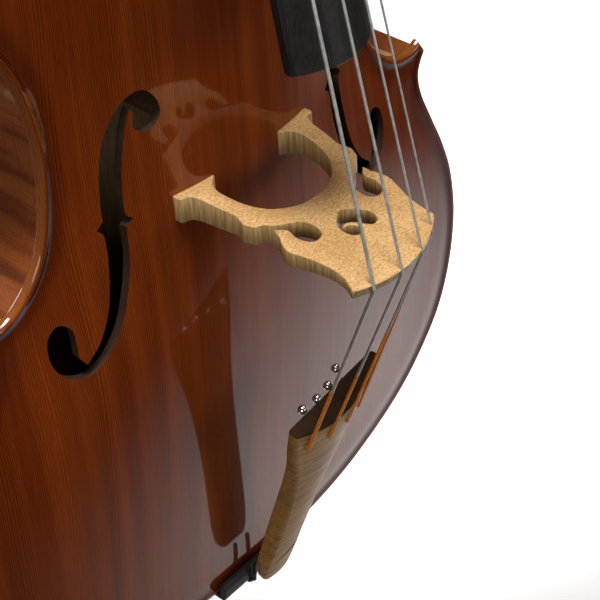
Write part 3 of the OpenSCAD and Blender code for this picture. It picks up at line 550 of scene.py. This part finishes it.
def plate(name, loop, holes, out, peak, finish, slot, stands_for):
    """An arched plate with a rounded border. out is -1 for the top, which faces -y, and 1 for the back."""
    def kept(points, from_edge, from_hole):
        """The points inside the plate that lie well away from its edge and holes."""
        points = points[inside(points, loop)]
        points = points[distance(points, loop) > from_edge]
        for hole in holes:
            points = points[~inside(points, hole) & (distance(points, hole) > from_hole)]
        return points

    def face(flat, height):
        """Points of the flat outline, raised by a height over the border."""
        border = np.full(len(flat), EDGE_Y) if out < 0 else BACK_Y - taper(flat[:, 1])
        return np.column_stack([flat[:, 0], border + out * height, flat[:, 1]])

    normals = left_normals(loop)
    extra = []
    for d in BORDER[1:, 0]:
        ring = (loop + normals * d)[::2 if d > 8 else 1]
        extra.append(ring[distance(ring, loop) > d - 0.12])
    for hole in holes:
        around = hole - left_normals(hole) * 2.5
        extra.append(around[distance(around, hole) > 2.3])
    extra.append(kept(grid(loop, FINE_CELL), BORDER[-1, 0] + 4, 0))
    flat, faces = triangulate([loop, *holes], kept(np.vstack(extra), 0, 1.9))
    edge = distance(flat, loop)
    edge[:len(loop)] = 0
    points = face(flat, arch(*flat.T, peak) + np.interp(edge, *BORDER.T))
    under, under_faces = triangulate([loop, *holes], kept(grid(loop, COARSE_CELL), 12, 8))
    first = len(points)
    points = np.vstack([points, face(under, arch(*under.T, peak) - PLATE_T + 0.1)])
    tags = [OUTSIDE] * len(faces) + [UNDERSIDE] * len(under_faces)
    faces = [tuple(f) for f in faces] + [tuple(f + first) for f in under_faces]

    # The rounded side, then the walls of the holes
    n = len(loop)
    before = range(n)
    for bulge, depth in SIDE_ROWS:
        row = range(len(points), len(points) + n)
        points = np.vstack([points, face(loop, -depth) - np.insert(normals * bulge, 1, 0, axis=1)])
        faces += strip(before, row)
        before = row
    faces += strip(before, range(first, first + n))
    tags += [OUTSIDE] * n * (len(SIDE_ROWS) + 1)
    for hole in holes:
        wall = range(n, n + len(hole))
        faces += strip(wall, [first + i for i in wall])
        tags += [HOLE_WALL] * len(hole)
        n += len(hole)
    rim = np.zeros(len(points))
    rim[:len(edge)] = np.minimum(edge, RIM_FAR)
    piece(name, points, faces, finish, slot, stands_for, tags=tags, rim=rim)


# The treble f-hole, from its upper eye round to the notch
F_INNER = [[104, 87], [106, 77], [99, 69], [89, 70], [82, 80], [85, 94], [95, 105], [108, 104], [121, 92],
           [132, 70], [138, 38], [140, 3]]
F_OUTER = [[146, -3], [141, -11], [143, -40], [150, -74], [163, -100], [178, -115]]
F_LOWER = [[184, -105], [183, -92], [184, -78], [194, -69], [205, -76], [208, -91], [205, -107],
           [194, -121], [177, -126], [158, -116], [141, -94], [130, -64], [124, -38], [122, -10]]
F_NOTCH = [[115, -4], [121, 4], [119, 40], [113, 74], [107, 93]]
f_hole = np.vstack([spline(run, 2.4) for run in (F_INNER, F_OUTER, F_LOWER, F_NOTCH)])
f_holes = [anticlockwise(f_hole), anticlockwise(f_hole[::-1] * [-1, 1])]

MORTISE = [[ROOT_HALF, BODY_HIGH + 0.5], [ROOT_HALF, 599], [ROOT_HALF, 586], [ROOT_HALF, ROOT_Z], [15, ROOT_Z],
           [0, ROOT_Z]]
BUTTON = [[46, 612.5], [35, 614], [30, 619], [26, 627], [15, 633], [0, 635]]
plate("top_plate_skin", mirrored(np.vstack([half_outline, MORTISE])), f_holes, -1, TOP_ARCH,
      [SPRUCE, BARE, F_WALL], "spruce_varnished", ["top_plate", "top_purfling"])
plate("back_plate_skin", mirrored(np.vstack([half_outline, spline(BUTTON, OUTLINE_STEP)[1:]])), [], 1,
      BACK_ARCH, [BACK_MAPLE, BARE], "maple_varnished", ["back_plate", "back_purfling"])

# ---- the ribs

RIB_FRONT, RIB_BACK = EDGE_Y + PLATE_T - 0.6, BACK_Y - PLATE_T + 0.6
RIB_GAP = 0.15         # the ribs of the two sides stop this far from the middle line
inward = left_normals(outline)
outer_line, inner_line = outline + inward * OVERHANG, outline + inward * (OVERHANG + RIB_T)
low_end = len(bouts[0]) - 1
mid_end = low_end + len(bouts[1])
SPANS = {"lower_rib": (0, low_end), "middle_rib": (low_end, mid_end),
         "upper_rib": (mid_end, len(half_outline) - 1)}
for side, sign in (("bass", -1), ("treble", 1)):
    for span, (a, b) in SPANS.items():
        o, i = (line[a:b + 1] * [sign, 1] for line in (outer_line, inner_line))
        o[:, 0], i[:, 0] = (sign * np.maximum(np.abs(v[:, 0]), RIB_GAP) for v in (o, i))
        front = np.full(len(o), RIB_FRONT)
        corners = ((o, front), (i, front), (i, RIB_BACK - taper(i[:, 1])), (o, RIB_BACK - taper(o[:, 1])))
        rows = [np.column_stack([p[:, 0], y, p[:, 1]]) for p, y in corners]
        points, faces = loft([np.array([r[k] for r in rows]) for k in range(len(o))])
        piece(f"{side}_{span}_skin", points, faces, [RIB_MAPLE], "maple_varnished", [f"{side}_{span}"])

# ---- the bridge

STRING_D = [3.0, 2.5, 2.1, 1.8]
STRING_GAP = 29.0
CROWN_R, CROWN_MID = 108.0, np.array([-15.8, 66.6])
CROWN_Z, CROWN_H = -25.8, 176.0        # the crown's middle, under the feet's upper faces, and its height
FOOT_T, CROWN_T = 23.4, 8.0
STRING_STEP = 2 * math.degrees(math.asin(STRING_GAP / 2 / CROWN_R))
CROWN_AT = [-13.2 + STRING_STEP * (i - 0.23) for i in range(4)]
bridge_pt = []
for d, a in zip(STRING_D, np.radians(CROWN_AT)):
    r = CROWN_R + d / 2 - 1
    bridge_pt.append(np.array([CROWN_MID[0] + r * math.sin(a), -CROWN_MID[1] - r * math.cos(a), CROWN_Z]))

# The bridge's outline from the middle of its arch, in x and height
ARCH_UNDER = [[0, 73], [15, 71.5], [29, 64.5], [39, 55.5], [46, 43], [49.4, 29], [50.3, 14], [46, 5], [38.5, 0]]
FOOT = [[38.5, -5], [79.5, -5]]
LEG = [[79.5, 0], [79, 1.5], [71, 4], [67.6, 12], [65, 30], [62.6, 44], [65.3, 55], [62, 64]]
SLOT = [[56, 66], [49, 73.5], [40, 79], [32, 84], [28, 93], [29, 103], [36, 107.5], [44, 105], [48, 95],
        [46.5, 84], [54, 76]]
BASS_SHOULDER = [[57, 85], [62.5, 93], [64.5, 101], [61.5, 110], [57.5, 125], [56, 139], [57.5, 150], [61, 158],
                 [63.6, 162.6]]
TREBLE_SHOULDER = [[55, 85], [58, 93], [58.5, 101], [55.5, 112], [51.5, 124], [49.8, 133], [49, 143], [49, 152]]
CROWN_ENDS = 48.6, -63.2
HEART = [[0, 97.5], [9, 104], [15.5, 114], [14.5, 123], [8, 126.5], [2.5, 123], [-1, 116.5], [-6, 111.6],
         [-11, 110.4], [-14.3, 112.2], [-11, 112.9], [-7, 115], [-4.4, 119], [-4, 123.5], [-8, 126.8],
         [-14, 124.5], [-17, 117.5], [-16, 110.5], [-12, 104.5], [-6, 100.5]]
CHAMFER = 0.9
# Whether each ring is on the rear face, how far it lies under it, and how far it is set in
BRIDGE_RINGS = ((0, 0, CHAMFER), (0, 0.25, 0.28), (0, 0.9, 0), (1, -0.9, 0), (1, -0.25, 0.28), (1, 0, CHAMFER))


def bridge():
    def half(shoulder):
        return np.vstack([spline(ARCH_UNDER, 2.0), FOOT, spline(LEG, 2.0), spline(SLOT, 1.8),
                          spline(shoulder, 2.0)])

    x = np.linspace(*CROWN_ENDS, 50)
    crown = np.column_stack([x, CROWN_MID[1] + np.sqrt(CROWN_R**2 - (x - CROWN_MID[0]) ** 2)])
    line = np.vstack([half(TREBLE_SHOULDER), crown, (half(BASS_SHOULDER)[1:] * [-1, 1])[::-1]])
    line = line[np.linalg.norm(line - np.roll(line, 1, 0), axis=1) > 0.4]
    loops = [anticlockwise(line), anticlockwise(spline(HEART, 1.4, True))[::-1]]
    points = []
    for rear, step, cut in BRIDGE_RINGS:
        for loop in loops:
            p = loop + left_normals(loop) * cut
            up = np.maximum(p[:, 1], 0) / CROWN_H
            front_z = (CROWN_Z + CROWN_T / 2) * up
            rear_z = -FOOT_T + (FOOT_T + CROWN_Z - CROWN_T / 2) * up
            z = (rear_z if rear else front_z) - step
            # The crown is rounded over to the rear, and the feet follow the top plate
            on_crown = np.abs(np.hypot(*(loop - CROWN_MID).T) - CROWN_R) < 0.5
            drop = 1.5 if rear else 0.35 if cut else -0.15
            y = np.where(on_crown, drop, 0) - p[:, 1]
            y = np.where(loop[:, 1] < -2, EDGE_Y - arch(p[:, 0], z, TOP_ARCH) - 0.1, y)
            points.append(np.column_stack([p[:, 0], y, z]))
    total = sum(len(loop) for loop in loops)
    faces = []
    for first in range(0, total * (len(BRIDGE_RINGS) - 1), total):
        for start, n in ((first, len(loops[0])), (first + len(loops[0]), len(loops[1]))):
            faces += strip(range(start, start + n), range(start + total, start + total + n))
    _, cap = triangulate([loop + left_normals(loop) * CHAMFER for loop in loops], np.zeros((0, 2)))
    faces += [tuple(f) for f in cap] + [tuple(f + total * (len(BRIDGE_RINGS) - 1)) for f in cap]
    piece("bridge_maple_body", np.vstack(points), faces, [BRIDGE_MAPLE], "bridge_maple", ["bridge"], sharp=50)


bridge()

# ---- fingerboard and neck

STRING_LENGTH = 1055.0
NUT_Z, NUT_Y = STRING_LENGTH - 26, 109.5
NUT_GAP = 11.0
BOARD_END = 131.0
BOARD_FALL = 196.5 / (NUT_Z - BOARD_END)
BOARD_SIDE = 9.0                       # height of the board's sides
BOARD_DEEP, HOLLOW_TO = 12.0, 586.0    # the hollow under the board, and where it ends
PLANED_FROM, PLANED_DEEP = 0.3, 1.6    # the flat under the E string: share of the half width, and depth
HEEL_Z, HEEL_TOP = 638.0, 735.0
nut_pt = [np.array([(i - 1.5) * NUT_GAP, NUT_Y - 15.5 + (i - 1.5) ** 2 * 0.9, NUT_Z]) for i in range(4)]


def mix(a, b, t):
    return a + (b - a) * t


def board_y(z):
    return NUT_Y - (NUT_Z - z) * BOARD_FALL


def fingerboard():
    def section(z, shrink):
        w = mix(45, 21.5, (z - BOARD_END) / (NUT_Z - BOARD_END)) - shrink
        r = mix(70, 60, (z - BOARD_END) / 900)
        sag = r - math.sqrt(r * r - w * w)
        x = np.linspace(-w + 0.8, w - 0.8, 31)
        round_front = r - np.sqrt(r * r - x * x)
        flat_front = 0.62 * (-x - w * PLANED_FROM) + 0.2
        planed = np.clip(flat_front, round_front, round_front + PLANED_DEEP)
        front = np.where(x < -w * PLANED_FROM, planed, round_front) - sag - BOARD_SIDE + shrink
        hollow = np.maximum(0, 1 - (x / (w * 0.80)) ** 2) ** 0.7 * (BOARD_DEEP if z < HOLLOW_TO else 0.05)
        low, high = 1.2 - BOARD_SIDE, -1.0 - shrink
        pts = np.vstack([np.column_stack([x, front]), [[w, low], [w, high]],
                         np.column_stack([x, -hollow - shrink])[::-1], [[-w, high], [-w, low]]])
        return np.column_stack([pts[:, 0], board_y(z) + pts[:, 1], np.full(len(pts), z)])
    stops = [(BOARD_END, 0.9), (BOARD_END + 0.3, 0.3), (BOARD_END + 0.9, 0)]
    stops += [(z, 0) for z in (*range(200, 501, 100), HOLLOW_TO - 1, HOLLOW_TO + 1, 700, 800, 900, 980,
                               NUT_Z - 0.2)]
    piece("fingerboard_ebony", *loft([section(z, s) for z, s in stops]), [EBONY], "ebony", ["fingerboard"])


fingerboard()


def neck():
    def half(z):
        return mix(27, 20.5, (z - 720) / (NUT_Z - 720)) if z > 720 else mix(30, 27, max(0, z - BODY_HIGH) / 108)

    def depth(z):
        rise = ((HEEL_TOP - max(z, HEEL_Z)) / (HEEL_TOP - HEEL_Z)) ** 3 if z < HEEL_TOP else 0
        return mix(30, 24, (z - BODY_HIGH) / (NUT_Z - BODY_HIGH)) + 150 * rise

    def section(z):
        # The heel's section is nearly square, and the neck's is round
        power = 1 if z > 700 else mix(0.35, 1, max(0, z - BODY_HIGH) / 88)
        a = np.radians(np.linspace(0, 180, 33))
        x = half(z) * np.sign(np.cos(a)) * np.abs(np.cos(a)) ** power
        y = np.minimum(board_y(z) + 0.1 + depth(z) * np.sin(a) ** power, BACK_Y - PLATE_T - NECK_TAPER - 0.3)
        return np.column_stack([x, y, np.full(33, z)])
    heights = [ROOT_Z + 0.3, 600, BODY_HIGH, 625, 638, *range(642, 740, 6), *range(750, 1020, 18), NUT_Z + 2]
    piece("neck_maple", *loft([section(z) for z in heights]), [NECK_MAPLE], "maple_varnished", ["neck"])


neck()

# ---- the head, drawn from the nut

HEAD_LEAN = math.radians(20)
CHEEK = 27.0                     # half width of the pegbox
WELL_HALF, WELL_FROM, WELL_TO = 17.0, 16.0, 170.0
EYE = np.array([9.0, 248.0])     # middle of the scroll, in y and z
EYE_R, TURN_R = 12.0, 46.5
START_ANGLE, TURNS_END = 258.0, 2.1 * 360
# Depth of the fluting across the back, by share of the half width
HALF_FLUTES = [(0.07, 0.2), (0.25, 1.6), (0.48, 2.4), (0.68, 1.2), (0.84, 0.1), (0.93, 1.4), (1, 4.5)]
FLUTES = [(-u, dip) for u, dip in reversed(HALF_FLUTES)] + [(0, 0.0)] + HALF_FLUTES
HEAD_BACK = [[-6, 21.5], [10, 23.5], [22, 28], [60, 41], [105, 49], [150, 50], [185, 45], [207, 46]]
HEAD_STOPS = [-5, 0, 6, 12, WELL_FROM - 0.1, WELL_FROM + 0.1, 30, 50, 75, 100, 125, 150, WELL_TO - 0.1,
              WELL_TO + 0.1, 185, 200, 207]
FIRST_TURN = [[45, 186], [46, 205], [55, 232], [54, 262], [38, 287], [12, 297], [-14, 289], [-32, 269],
              [-38, 244], [-32, 221], [-16, 206], [-1, 201], [8, 196], [4, 186]]
EYE_PROFILE = ((12.2, 34), (12.2, 48.5), (11.2, 50), (8.5, 51), (4.5, 51.6), (0.5, 51.8))


def from_head(p):
    p = np.asarray(p, float)
    c, s = math.cos(HEAD_LEAN), math.sin(HEAD_LEAN)
    return np.column_stack([p[:, 0], NUT_Y + p[:, 1] * c + p[:, 2] * s,
                            NUT_Z + 0.3 + p[:, 2] * c - p[:, 1] * s])


def head():
    pile = Pile()
    sections = []
    for z in HEAD_STOPS:
        w = min(CHEEK, 21.5 + 5.5 * max(0, min(1, (z + 2) / 14)))
        back = float(smooth_table(HEAD_BACK, np.array([z]))[0])
        floor = min(36, back - 9) if WELL_FROM < z < WELL_TO else 0.4
        right = [[WELL_HALF, floor], [WELL_HALF, 0.3], [WELL_HALF + 0.6, 0], [w * 0.96, 0], [w, 1.2]]
        pts = [[-x, y] for x, y in reversed(right)] + right
        pts += [[w * u, back - dip] for u, dip in reversed(FLUTES)]
        sections.append(from_head([[x, y, z] for x, y in pts]))
    pile.add(*loft(sections))
    # The scroll's first turn
    loop = spline(FIRST_TURN, 4.0)
    lean = left_normals(loop) * np.sign(area(loop))
    pile.add(*loft([from_head(np.column_stack([np.full(len(loop), u * CHEEK), loop + lean * dip]))
                    for u, dip in FLUTES]))
    # The turns on each side, which widen to the eye
    def radius(a):
        return TURN_R * (EYE_R / TURN_R) ** ((a - START_ANGLE) / TURNS_END)

    def width(a):
        return CHEEK + 22.5 * (np.clip((a - START_ANGLE) / TURNS_END, 0, 1)) ** 0.9

    for side in (-1, 1):
        rows = []
        for a in np.arange(START_ANGLE, START_ANGLE + TURNS_END + 1, 9.0):
            r, w = radius(a), width(a)
            under = width(a - 360) - 2.5 if a - 360 > START_ANGLE else CHEEK - 2.5
            r_in = radius(a + 360) - 0.8 if a + 360 < START_ANGLE + TURNS_END else 7.0
            fade = min(1, (a - START_ANGLE) / 60)
            profile = [(r, under), (r, max(under, w - 1.6)), (r - 0.5, w - 0.5), (r - 1.6, w),
                       (mix(r, r_in, 0.35), w - 1.3 * fade), (mix(r, r_in, 0.75), w - 1.6 * fade),
                       (r_in, w - 1.0 * fade)]
            c, s = math.cos(math.radians(a)), math.sin(math.radians(a))
            rows.append(from_head([[side * x, EYE[0] + q * c, EYE[1] + q * s] for q, x in profile]))
        m = len(rows[0])
        faces = [f for k in range(0, m * (len(rows) - 1), m)
                 for f in strip(range(k, k + m), range(k + m, k + 2 * m), False)]
        pile.add(np.vstack(rows), faces)
        a = np.radians(np.arange(0, 360, 15))
        pile.add(*loft([from_head(np.column_stack([np.full(len(a), side * x), EYE[0] + q * np.cos(a),
                                                   EYE[1] + q * np.sin(a)])) for q, x in EYE_PROFILE]))
    piece("head_maple", pile.points, pile.faces, [NECK_MAPLE], "maple_varnished", ["head"], sharp=42)


head()

# ---- tailpiece, silks and ball ends

TAIL_AT, TAIL_LEAN, TAIL_LEN = np.array([0, -2.0, -502.0]), math.radians(19.2), 283.0
TAIL_HALF = [[0, 13], [6, 18], [16, 20], [70, 20.5], [130, 22], [175, 26], [215, 33], [250, 43], [283, 50]]
TAIL_THICK = [[0, 11], [20, 14], [283, 18]]
TAIL_CORNER = 5.0
TAIL_HOLE = [[-34, 258], [-12, 262], [11, 264], [32, 263]]
BALL_D = 8.6
BALL_AT = [np.array(p, float) for p in ([-30, -75, -217], [-12, -76, -217], [6, -73, -216], [24, -67, -212])]
# Angles of the ball's rings, closer at the groove
BALL_RINGS = [20, 26, 34, 44, 56, 68, 79, 84, 87, 90, 93, 96, 101, 112, 124, 136, 146, 154, 160]
SILK_LENGTH = [97, 100, 135, 140]
WOUND_D = [d + 0.4 for d in STRING_D]
# The saw kerf near the narrow end opens over KERF_OPENS mm from x = KERF_X to the treble edge
KERF_Z, KERF_DEEP, KERF_SLANT = 41.0, 4.0, 7.0
KERF_X, KERF_OPENS = -12.0, 16.0
KERF = (KERF_Z - 2.5, KERF_Z + 2.5)
KERF_LIPS = (KERF_Z - 2.7, KERF_Z + 2.7)


def from_tail(p):
    p = np.atleast_2d(np.asarray(p, float))
    c, s = math.cos(TAIL_LEAN), math.sin(TAIL_LEAN)
    return TAIL_AT + np.column_stack([p[:, 0], p[:, 1] * c - p[:, 2] * s, p[:, 1] * s + p[:, 2] * c])


def tail_half(z):
    return float(smooth_table(TAIL_HALF, np.array([z]))[0])


def tail_bow(z):
    return mix(0.12, 0.24, z / TAIL_LEN)


tail_pt = [from_tail([x, tail_bow(z) * x * x / tail_half(z) - d / 2 - 0.3, z])[0]
           for (x, z), d in zip(TAIL_HOLE, WOUND_D)]
silk_pt = [t + (b - t) * n / np.linalg.norm(b - t) for t, b, n in zip(tail_pt, bridge_pt, SILK_LENGTH)]


def tailpiece():
    def section(z, shrink):
        w, r = tail_half(z) - shrink, TAIL_CORNER
        x = np.linspace(-(w - r), w - r, 25)
        front = np.column_stack([x, tail_bow(z) * x * x / w + shrink])
        a = np.radians(np.arange(15, 91, 15))
        corner = np.column_stack([(w - r) + r * np.sin(a), front[-1, 1] + r * (1 - np.cos(a))])
        back_y = float(smooth_table(TAIL_THICK, np.array([z]))[0]) + tail_bow(z) * w * 0.3 - shrink
        back = [[w - 0.4, back_y - 2.5], [w - 1.4, back_y - 0.8], [w - 3.2, back_y]]
        right = np.vstack([front[len(front) // 2:], corner, back])
        p = np.vstack([(right[1:] * [-1, 1])[::-1], right])
        skew = 34 * (np.maximum(0, p[:, 0] + 50) / 100) ** 3 * (z / TAIL_LEN) ** 2
        share = p[:, 0] / w
        opening = np.clip((p[:, 0] - KERF_X) / KERF_OPENS, 0, 1) * (p[:, 1] < back_y - 1.5)
        cut = KERF_DEEP * opening * (z in KERF)
        x = p[:, 0] - cut * np.clip(share, 0, 1) ** 6
        y = p[:, 1] + cut * (1 - np.clip(np.abs(share), 0, 1) ** 6)
        z = KERF_Z + (z - KERF_Z) * (opening if z in (*KERF, *KERF_LIPS) else 1)
        slant = KERF_SLANT * share * np.exp(-((z - KERF_Z) / 14) ** 2)
        return from_tail(np.column_stack([x, y, z + skew + slant]))
    stops = [(0.0, 3.4), (0.9, 1.6), (2.2, 0.5)]
    stops += [(z, 0) for z in (4, 8, 14, 20, 28, 35, KERF_LIPS[0], *KERF, KERF_LIPS[1], 48, 56, 66)]
    stops += [(z, 0) for z in range(78, 276, 8)] + [(281.6, 0), (282.6, 0.35), (TAIL_LEN, 1.1)]
    sections = [section(z, s) for z, s in stops]
    points, faces = loft(sections)
    # The second material is the dark stain on the wide end, and painted shade in the kerf
    n = len(sections[0])
    tags = [0] * len(faces)
    tags[-1] = 1
    for k, (z, _) in enumerate(stops[:-1]):
        # Painted shade: the kerf's faces on the treble side take the dark end stain, as the shadow inside the
        # narrow cut
        if z in (KERF_LIPS[0], *KERF):
            tags[k * n:(k + 1) * n] = [int(p[0] > KERF_X + 1) for p in points[k * n:(k + 1) * n]]
        if z > 281:
            tags[k * n:(k + 1) * n] = [1] * n
    piece("tailpiece_maple", points, faces, [TAIL_MAPLE, END_STAIN_KERF_SHADE], "tail_maple", ["tailpiece"], tags=tags,
          sharp=45)


tailpiece()

ROLLER_AT = [(-13, 38), (-4, 112), (5, 140), (13, 66)]     # each string's lane and its roller, in x and z
ROLLER_Y, ROLLER_D = 14.0, 14.0
roller_pt = [from_head([[x, ROLLER_Y - ROLLER_D / 2 - d / 2 - 0.4, z]])[0]
             for (x, z), d in zip(ROLLER_AT, WOUND_D)]


def silks():
    """Silk thread wound round each end of the strings."""
    def twist(run, angle):
        return 0.075 * np.cos(3 * angle + run * 1.5)

    pile = Pile()
    for wound, tail, silk_end, ball, nut, roller in zip(WOUND_D, tail_pt, silk_pt, BALL_AT, nut_pt, roller_pt):
        for ends, step in (((silk_end, tail), 0.9), ((tail, mix(tail, ball, 0.75)), 1.5),
                           ((mix(nut, roller, 0.01), roller), 1.2)):
            pile.add(*tube(along(ends, step), wound / 2, 12, twist))
    piece("string_silk_thread", pile.points, pile.faces, [SILK], "silk", ["string_silks"], sharp=60)


silks()


def ball_ends():
    """Turned ball ends: each has a groove round its middle and a drilled hole."""
    pile = Pile()
    a = np.linspace(0, 2 * math.pi, 32, endpoint=False)
    hole = 0.86 * math.sin(math.radians(BALL_RINGS[0]))
    rings = [(-math.cos(t) * r, math.sin(t) * r) for t, r in
             ((math.radians(t), 1 - 0.07 * math.exp(-((t - 90) / 5) ** 2)) for t in BALL_RINGS)]
    rings += [(3.6 / (BALL_D / 2), hole), (-3.6 / (BALL_D / 2), hole), rings[0]]
    for p in BALL_AT:
        pile.add(*loft([p + BALL_D / 2 * np.column_stack([np.full(len(a), x), r * np.cos(a), r * np.sin(a)])
                        for x, r in rings], caps=False))
    piece("ball_ends_chrome", pile.points, pile.faces, [CHROME], "chrome", ["string_balls"], sharp=50)


ball_ends()

# ---- CAD nodes that are shown as they are


def each(*kinds):
    """The names of the nodes that each string has of its own."""
    return [f"{kind}_{string}" for kind in kinds for string in "eadg"]


FINISH = {
    BARE: ["top_linings", "back_linings", "neck_block", "tail_block", "corner_blocks", "bass_bar",
           "sound_post"],
    EBONY: ["nut", "saddle", "endpin_collar"],
    ROLLER_WOOD: each("roller"),
    BRASS: ["bass_machine_plate", "treble_machine_plate", "machine_screws", *each("gear", "key")],
    STRING: each("string"),
    SILK: each("winding"),
    STEEL: ["endpin_rod", "thumb_screw"],
    WIRE: ["tail_wire"],
    RUBBER: ["endpin_tip"],
}
ROUNDED = {"nut": 0.8, "saddle": 1.6, "endpin_collar": 1.5, "bass_machine_plate": 0.35,
           "treble_machine_plate": 0.35, "machine_screws": 0.5, "thumb_screw": 0.6, "endpin_rod": 0.4,
           **dict.fromkeys(each("gear"), 0.2), **dict.fromkeys(each("key"), 0.7)}
for finish, names in FINISH.items():
    for name in names:
        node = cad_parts[name]
        node.data.materials.clear()
        node.data.materials.append(finish)
        if name in ROUNDED:
            weld = node.modifiers.new("weld", "WELD")
            weld.merge_threshold = 0.01 * MM
            bevel = node.modifiers.new("round", "BEVEL")
            bevel.width = ROUNDED[name] * MM
            bevel.segments = 3
            bevel.limit_method = "ANGLE"
            bevel.angle_limit = math.radians(40)
            bevel.use_clamp_overlap = True

# ---- floor, light and camera

FLOOR_HALF = 8.0
floor_paint = Paint("floor", Specular_IOR_Level=0.1)
speck = floor_paint.noise((3, 3, 3), detail=4)
floor_paint.to("Base Color", floor_paint.ramp(speck, [(0.3, 0.80), (0.7, 0.84)]))
floor_paint.to("Roughness", floor_paint.ramp(speck, [(0.3, 0.75), (0.7, 0.9)]))
floor_mesh = bpy.data.meshes.new("floor")
floor_mesh.from_pydata([(x * FLOOR_HALF, y * FLOOR_HALF, 0) for x, y in ((-1, -1), (1, -1), (1, 1), (-1, 1))],
                       [], [(0, 1, 2, 3)])
floor_mesh.materials.append(floor_paint.material)
floor = bpy.data.objects.new("floor", floor_mesh)
bpy.context.scene.collection.objects.link(floor)


def looking(position, target, up):
    """The matrix of something at a position that looks at a target."""
    ahead = (Vector(target) - Vector(position)).normalized()
    right = ahead.cross(Vector(up)).normalized()
    above = right.cross(ahead)
    return Matrix.Translation(position) @ Matrix((right, above, -ahead)).transposed().to_4x4()


def softbox(name, position, target, size, watts, spread, shines_on):
    """A square area light that shines on one collection."""
    light = bpy.data.lights.new(name, "AREA")
    light.shape = "RECTANGLE"
    light.size = light.size_y = size
    light.energy = watts
    light.spread = math.radians(spread)
    obj = bpy.data.objects.new(name, light)
    obj.matrix_world = looking(position, target, (0, 1, 0.01))
    obj.light_linking.receiver_collection = shines_on
    bpy.context.scene.collection.objects.link(obj)
    return obj


# The floor has its own lights, so that it stays white without shadows behind the bass, and the others
# leave it out, so that the floor in front gives the varnish little haze
lit_floor = bpy.data.collections.new("lit_floor")
lit_floor.objects.link(floor)
off_floor = bpy.data.collections.new("off_floor")
off_floor.objects.link(floor)
off_floor.collection_objects[0].light_linking.link_state = "EXCLUDE"
POOL_HIGH, POOL_SIZE = 2.6, 0.25
# Place over the floor, watts and spread
POOLS = {"near": ((0.60, 0.11), 6.4, 36), "far": ((1.25, 0.50), 4.0, 38), "edge": ((0.22, 0.04), 0.16, 13),
         "rear": ((0.0, 4.2), 14, 108)}
for name, ((x, y), watts, spread) in POOLS.items():
    pool = softbox(f"{name}_floor_light", (x, y, POOL_HIGH), (x, y, 0), POOL_SIZE, watts, spread, lit_floor)
    pool.light_linking.blocker_collection = lit_floor
# Place, target, size, watts and spread
STUDIO = {"top": ((-0.25, -0.45, 3.0), (-0.05, -0.2, 0.7), 1.0, 5, 38),
          "front": ((1.6, -3.8, 1.5), (0, 0, 0.85), 1.6, 34, 180),
          "left": ((-3.0, -1.9, 1.3), (0, -0.1, 0.7), 1.4, 30, 180),
          "back": ((-1.2, 4.2, 2.0), (0, 0, 0.9), 1.6, 55, 180)}
for name, settings in STUDIO.items():
    softbox(f"{name}_light", *settings, off_floor)

world = bpy.data.worlds.new("studio")
bpy.context.scene.world = world
world.use_nodes = True
background = world.node_tree.nodes["Background"].inputs
background["Color"].default_value = (1, 1, 1, 1)
background["Strength"].default_value = 0.02
bpy.context.scene.view_settings.view_transform = "Standard"

CAMERA_AT = Vector((-0.8592, -0.9785, 1.5181))
CAMERA_AHEAD, CAMERA_UP = Vector((0.5678, 0.5240, -0.6349)), (0.4989, 0.3944, 0.7717)
camera_data = bpy.data.cameras.new("camera")
camera_data.lens = 108.3
camera_data.sensor_width = 36.0
camera_data.clip_start = 0.05
camera = bpy.data.objects.new("camera", camera_data)
camera.matrix_world = looking(CAMERA_AT, CAMERA_AT + CAMERA_AHEAD, CAMERA_UP)
bpy.context.scene.collection.objects.link(camera)
bpy.context.scene.camera = camera
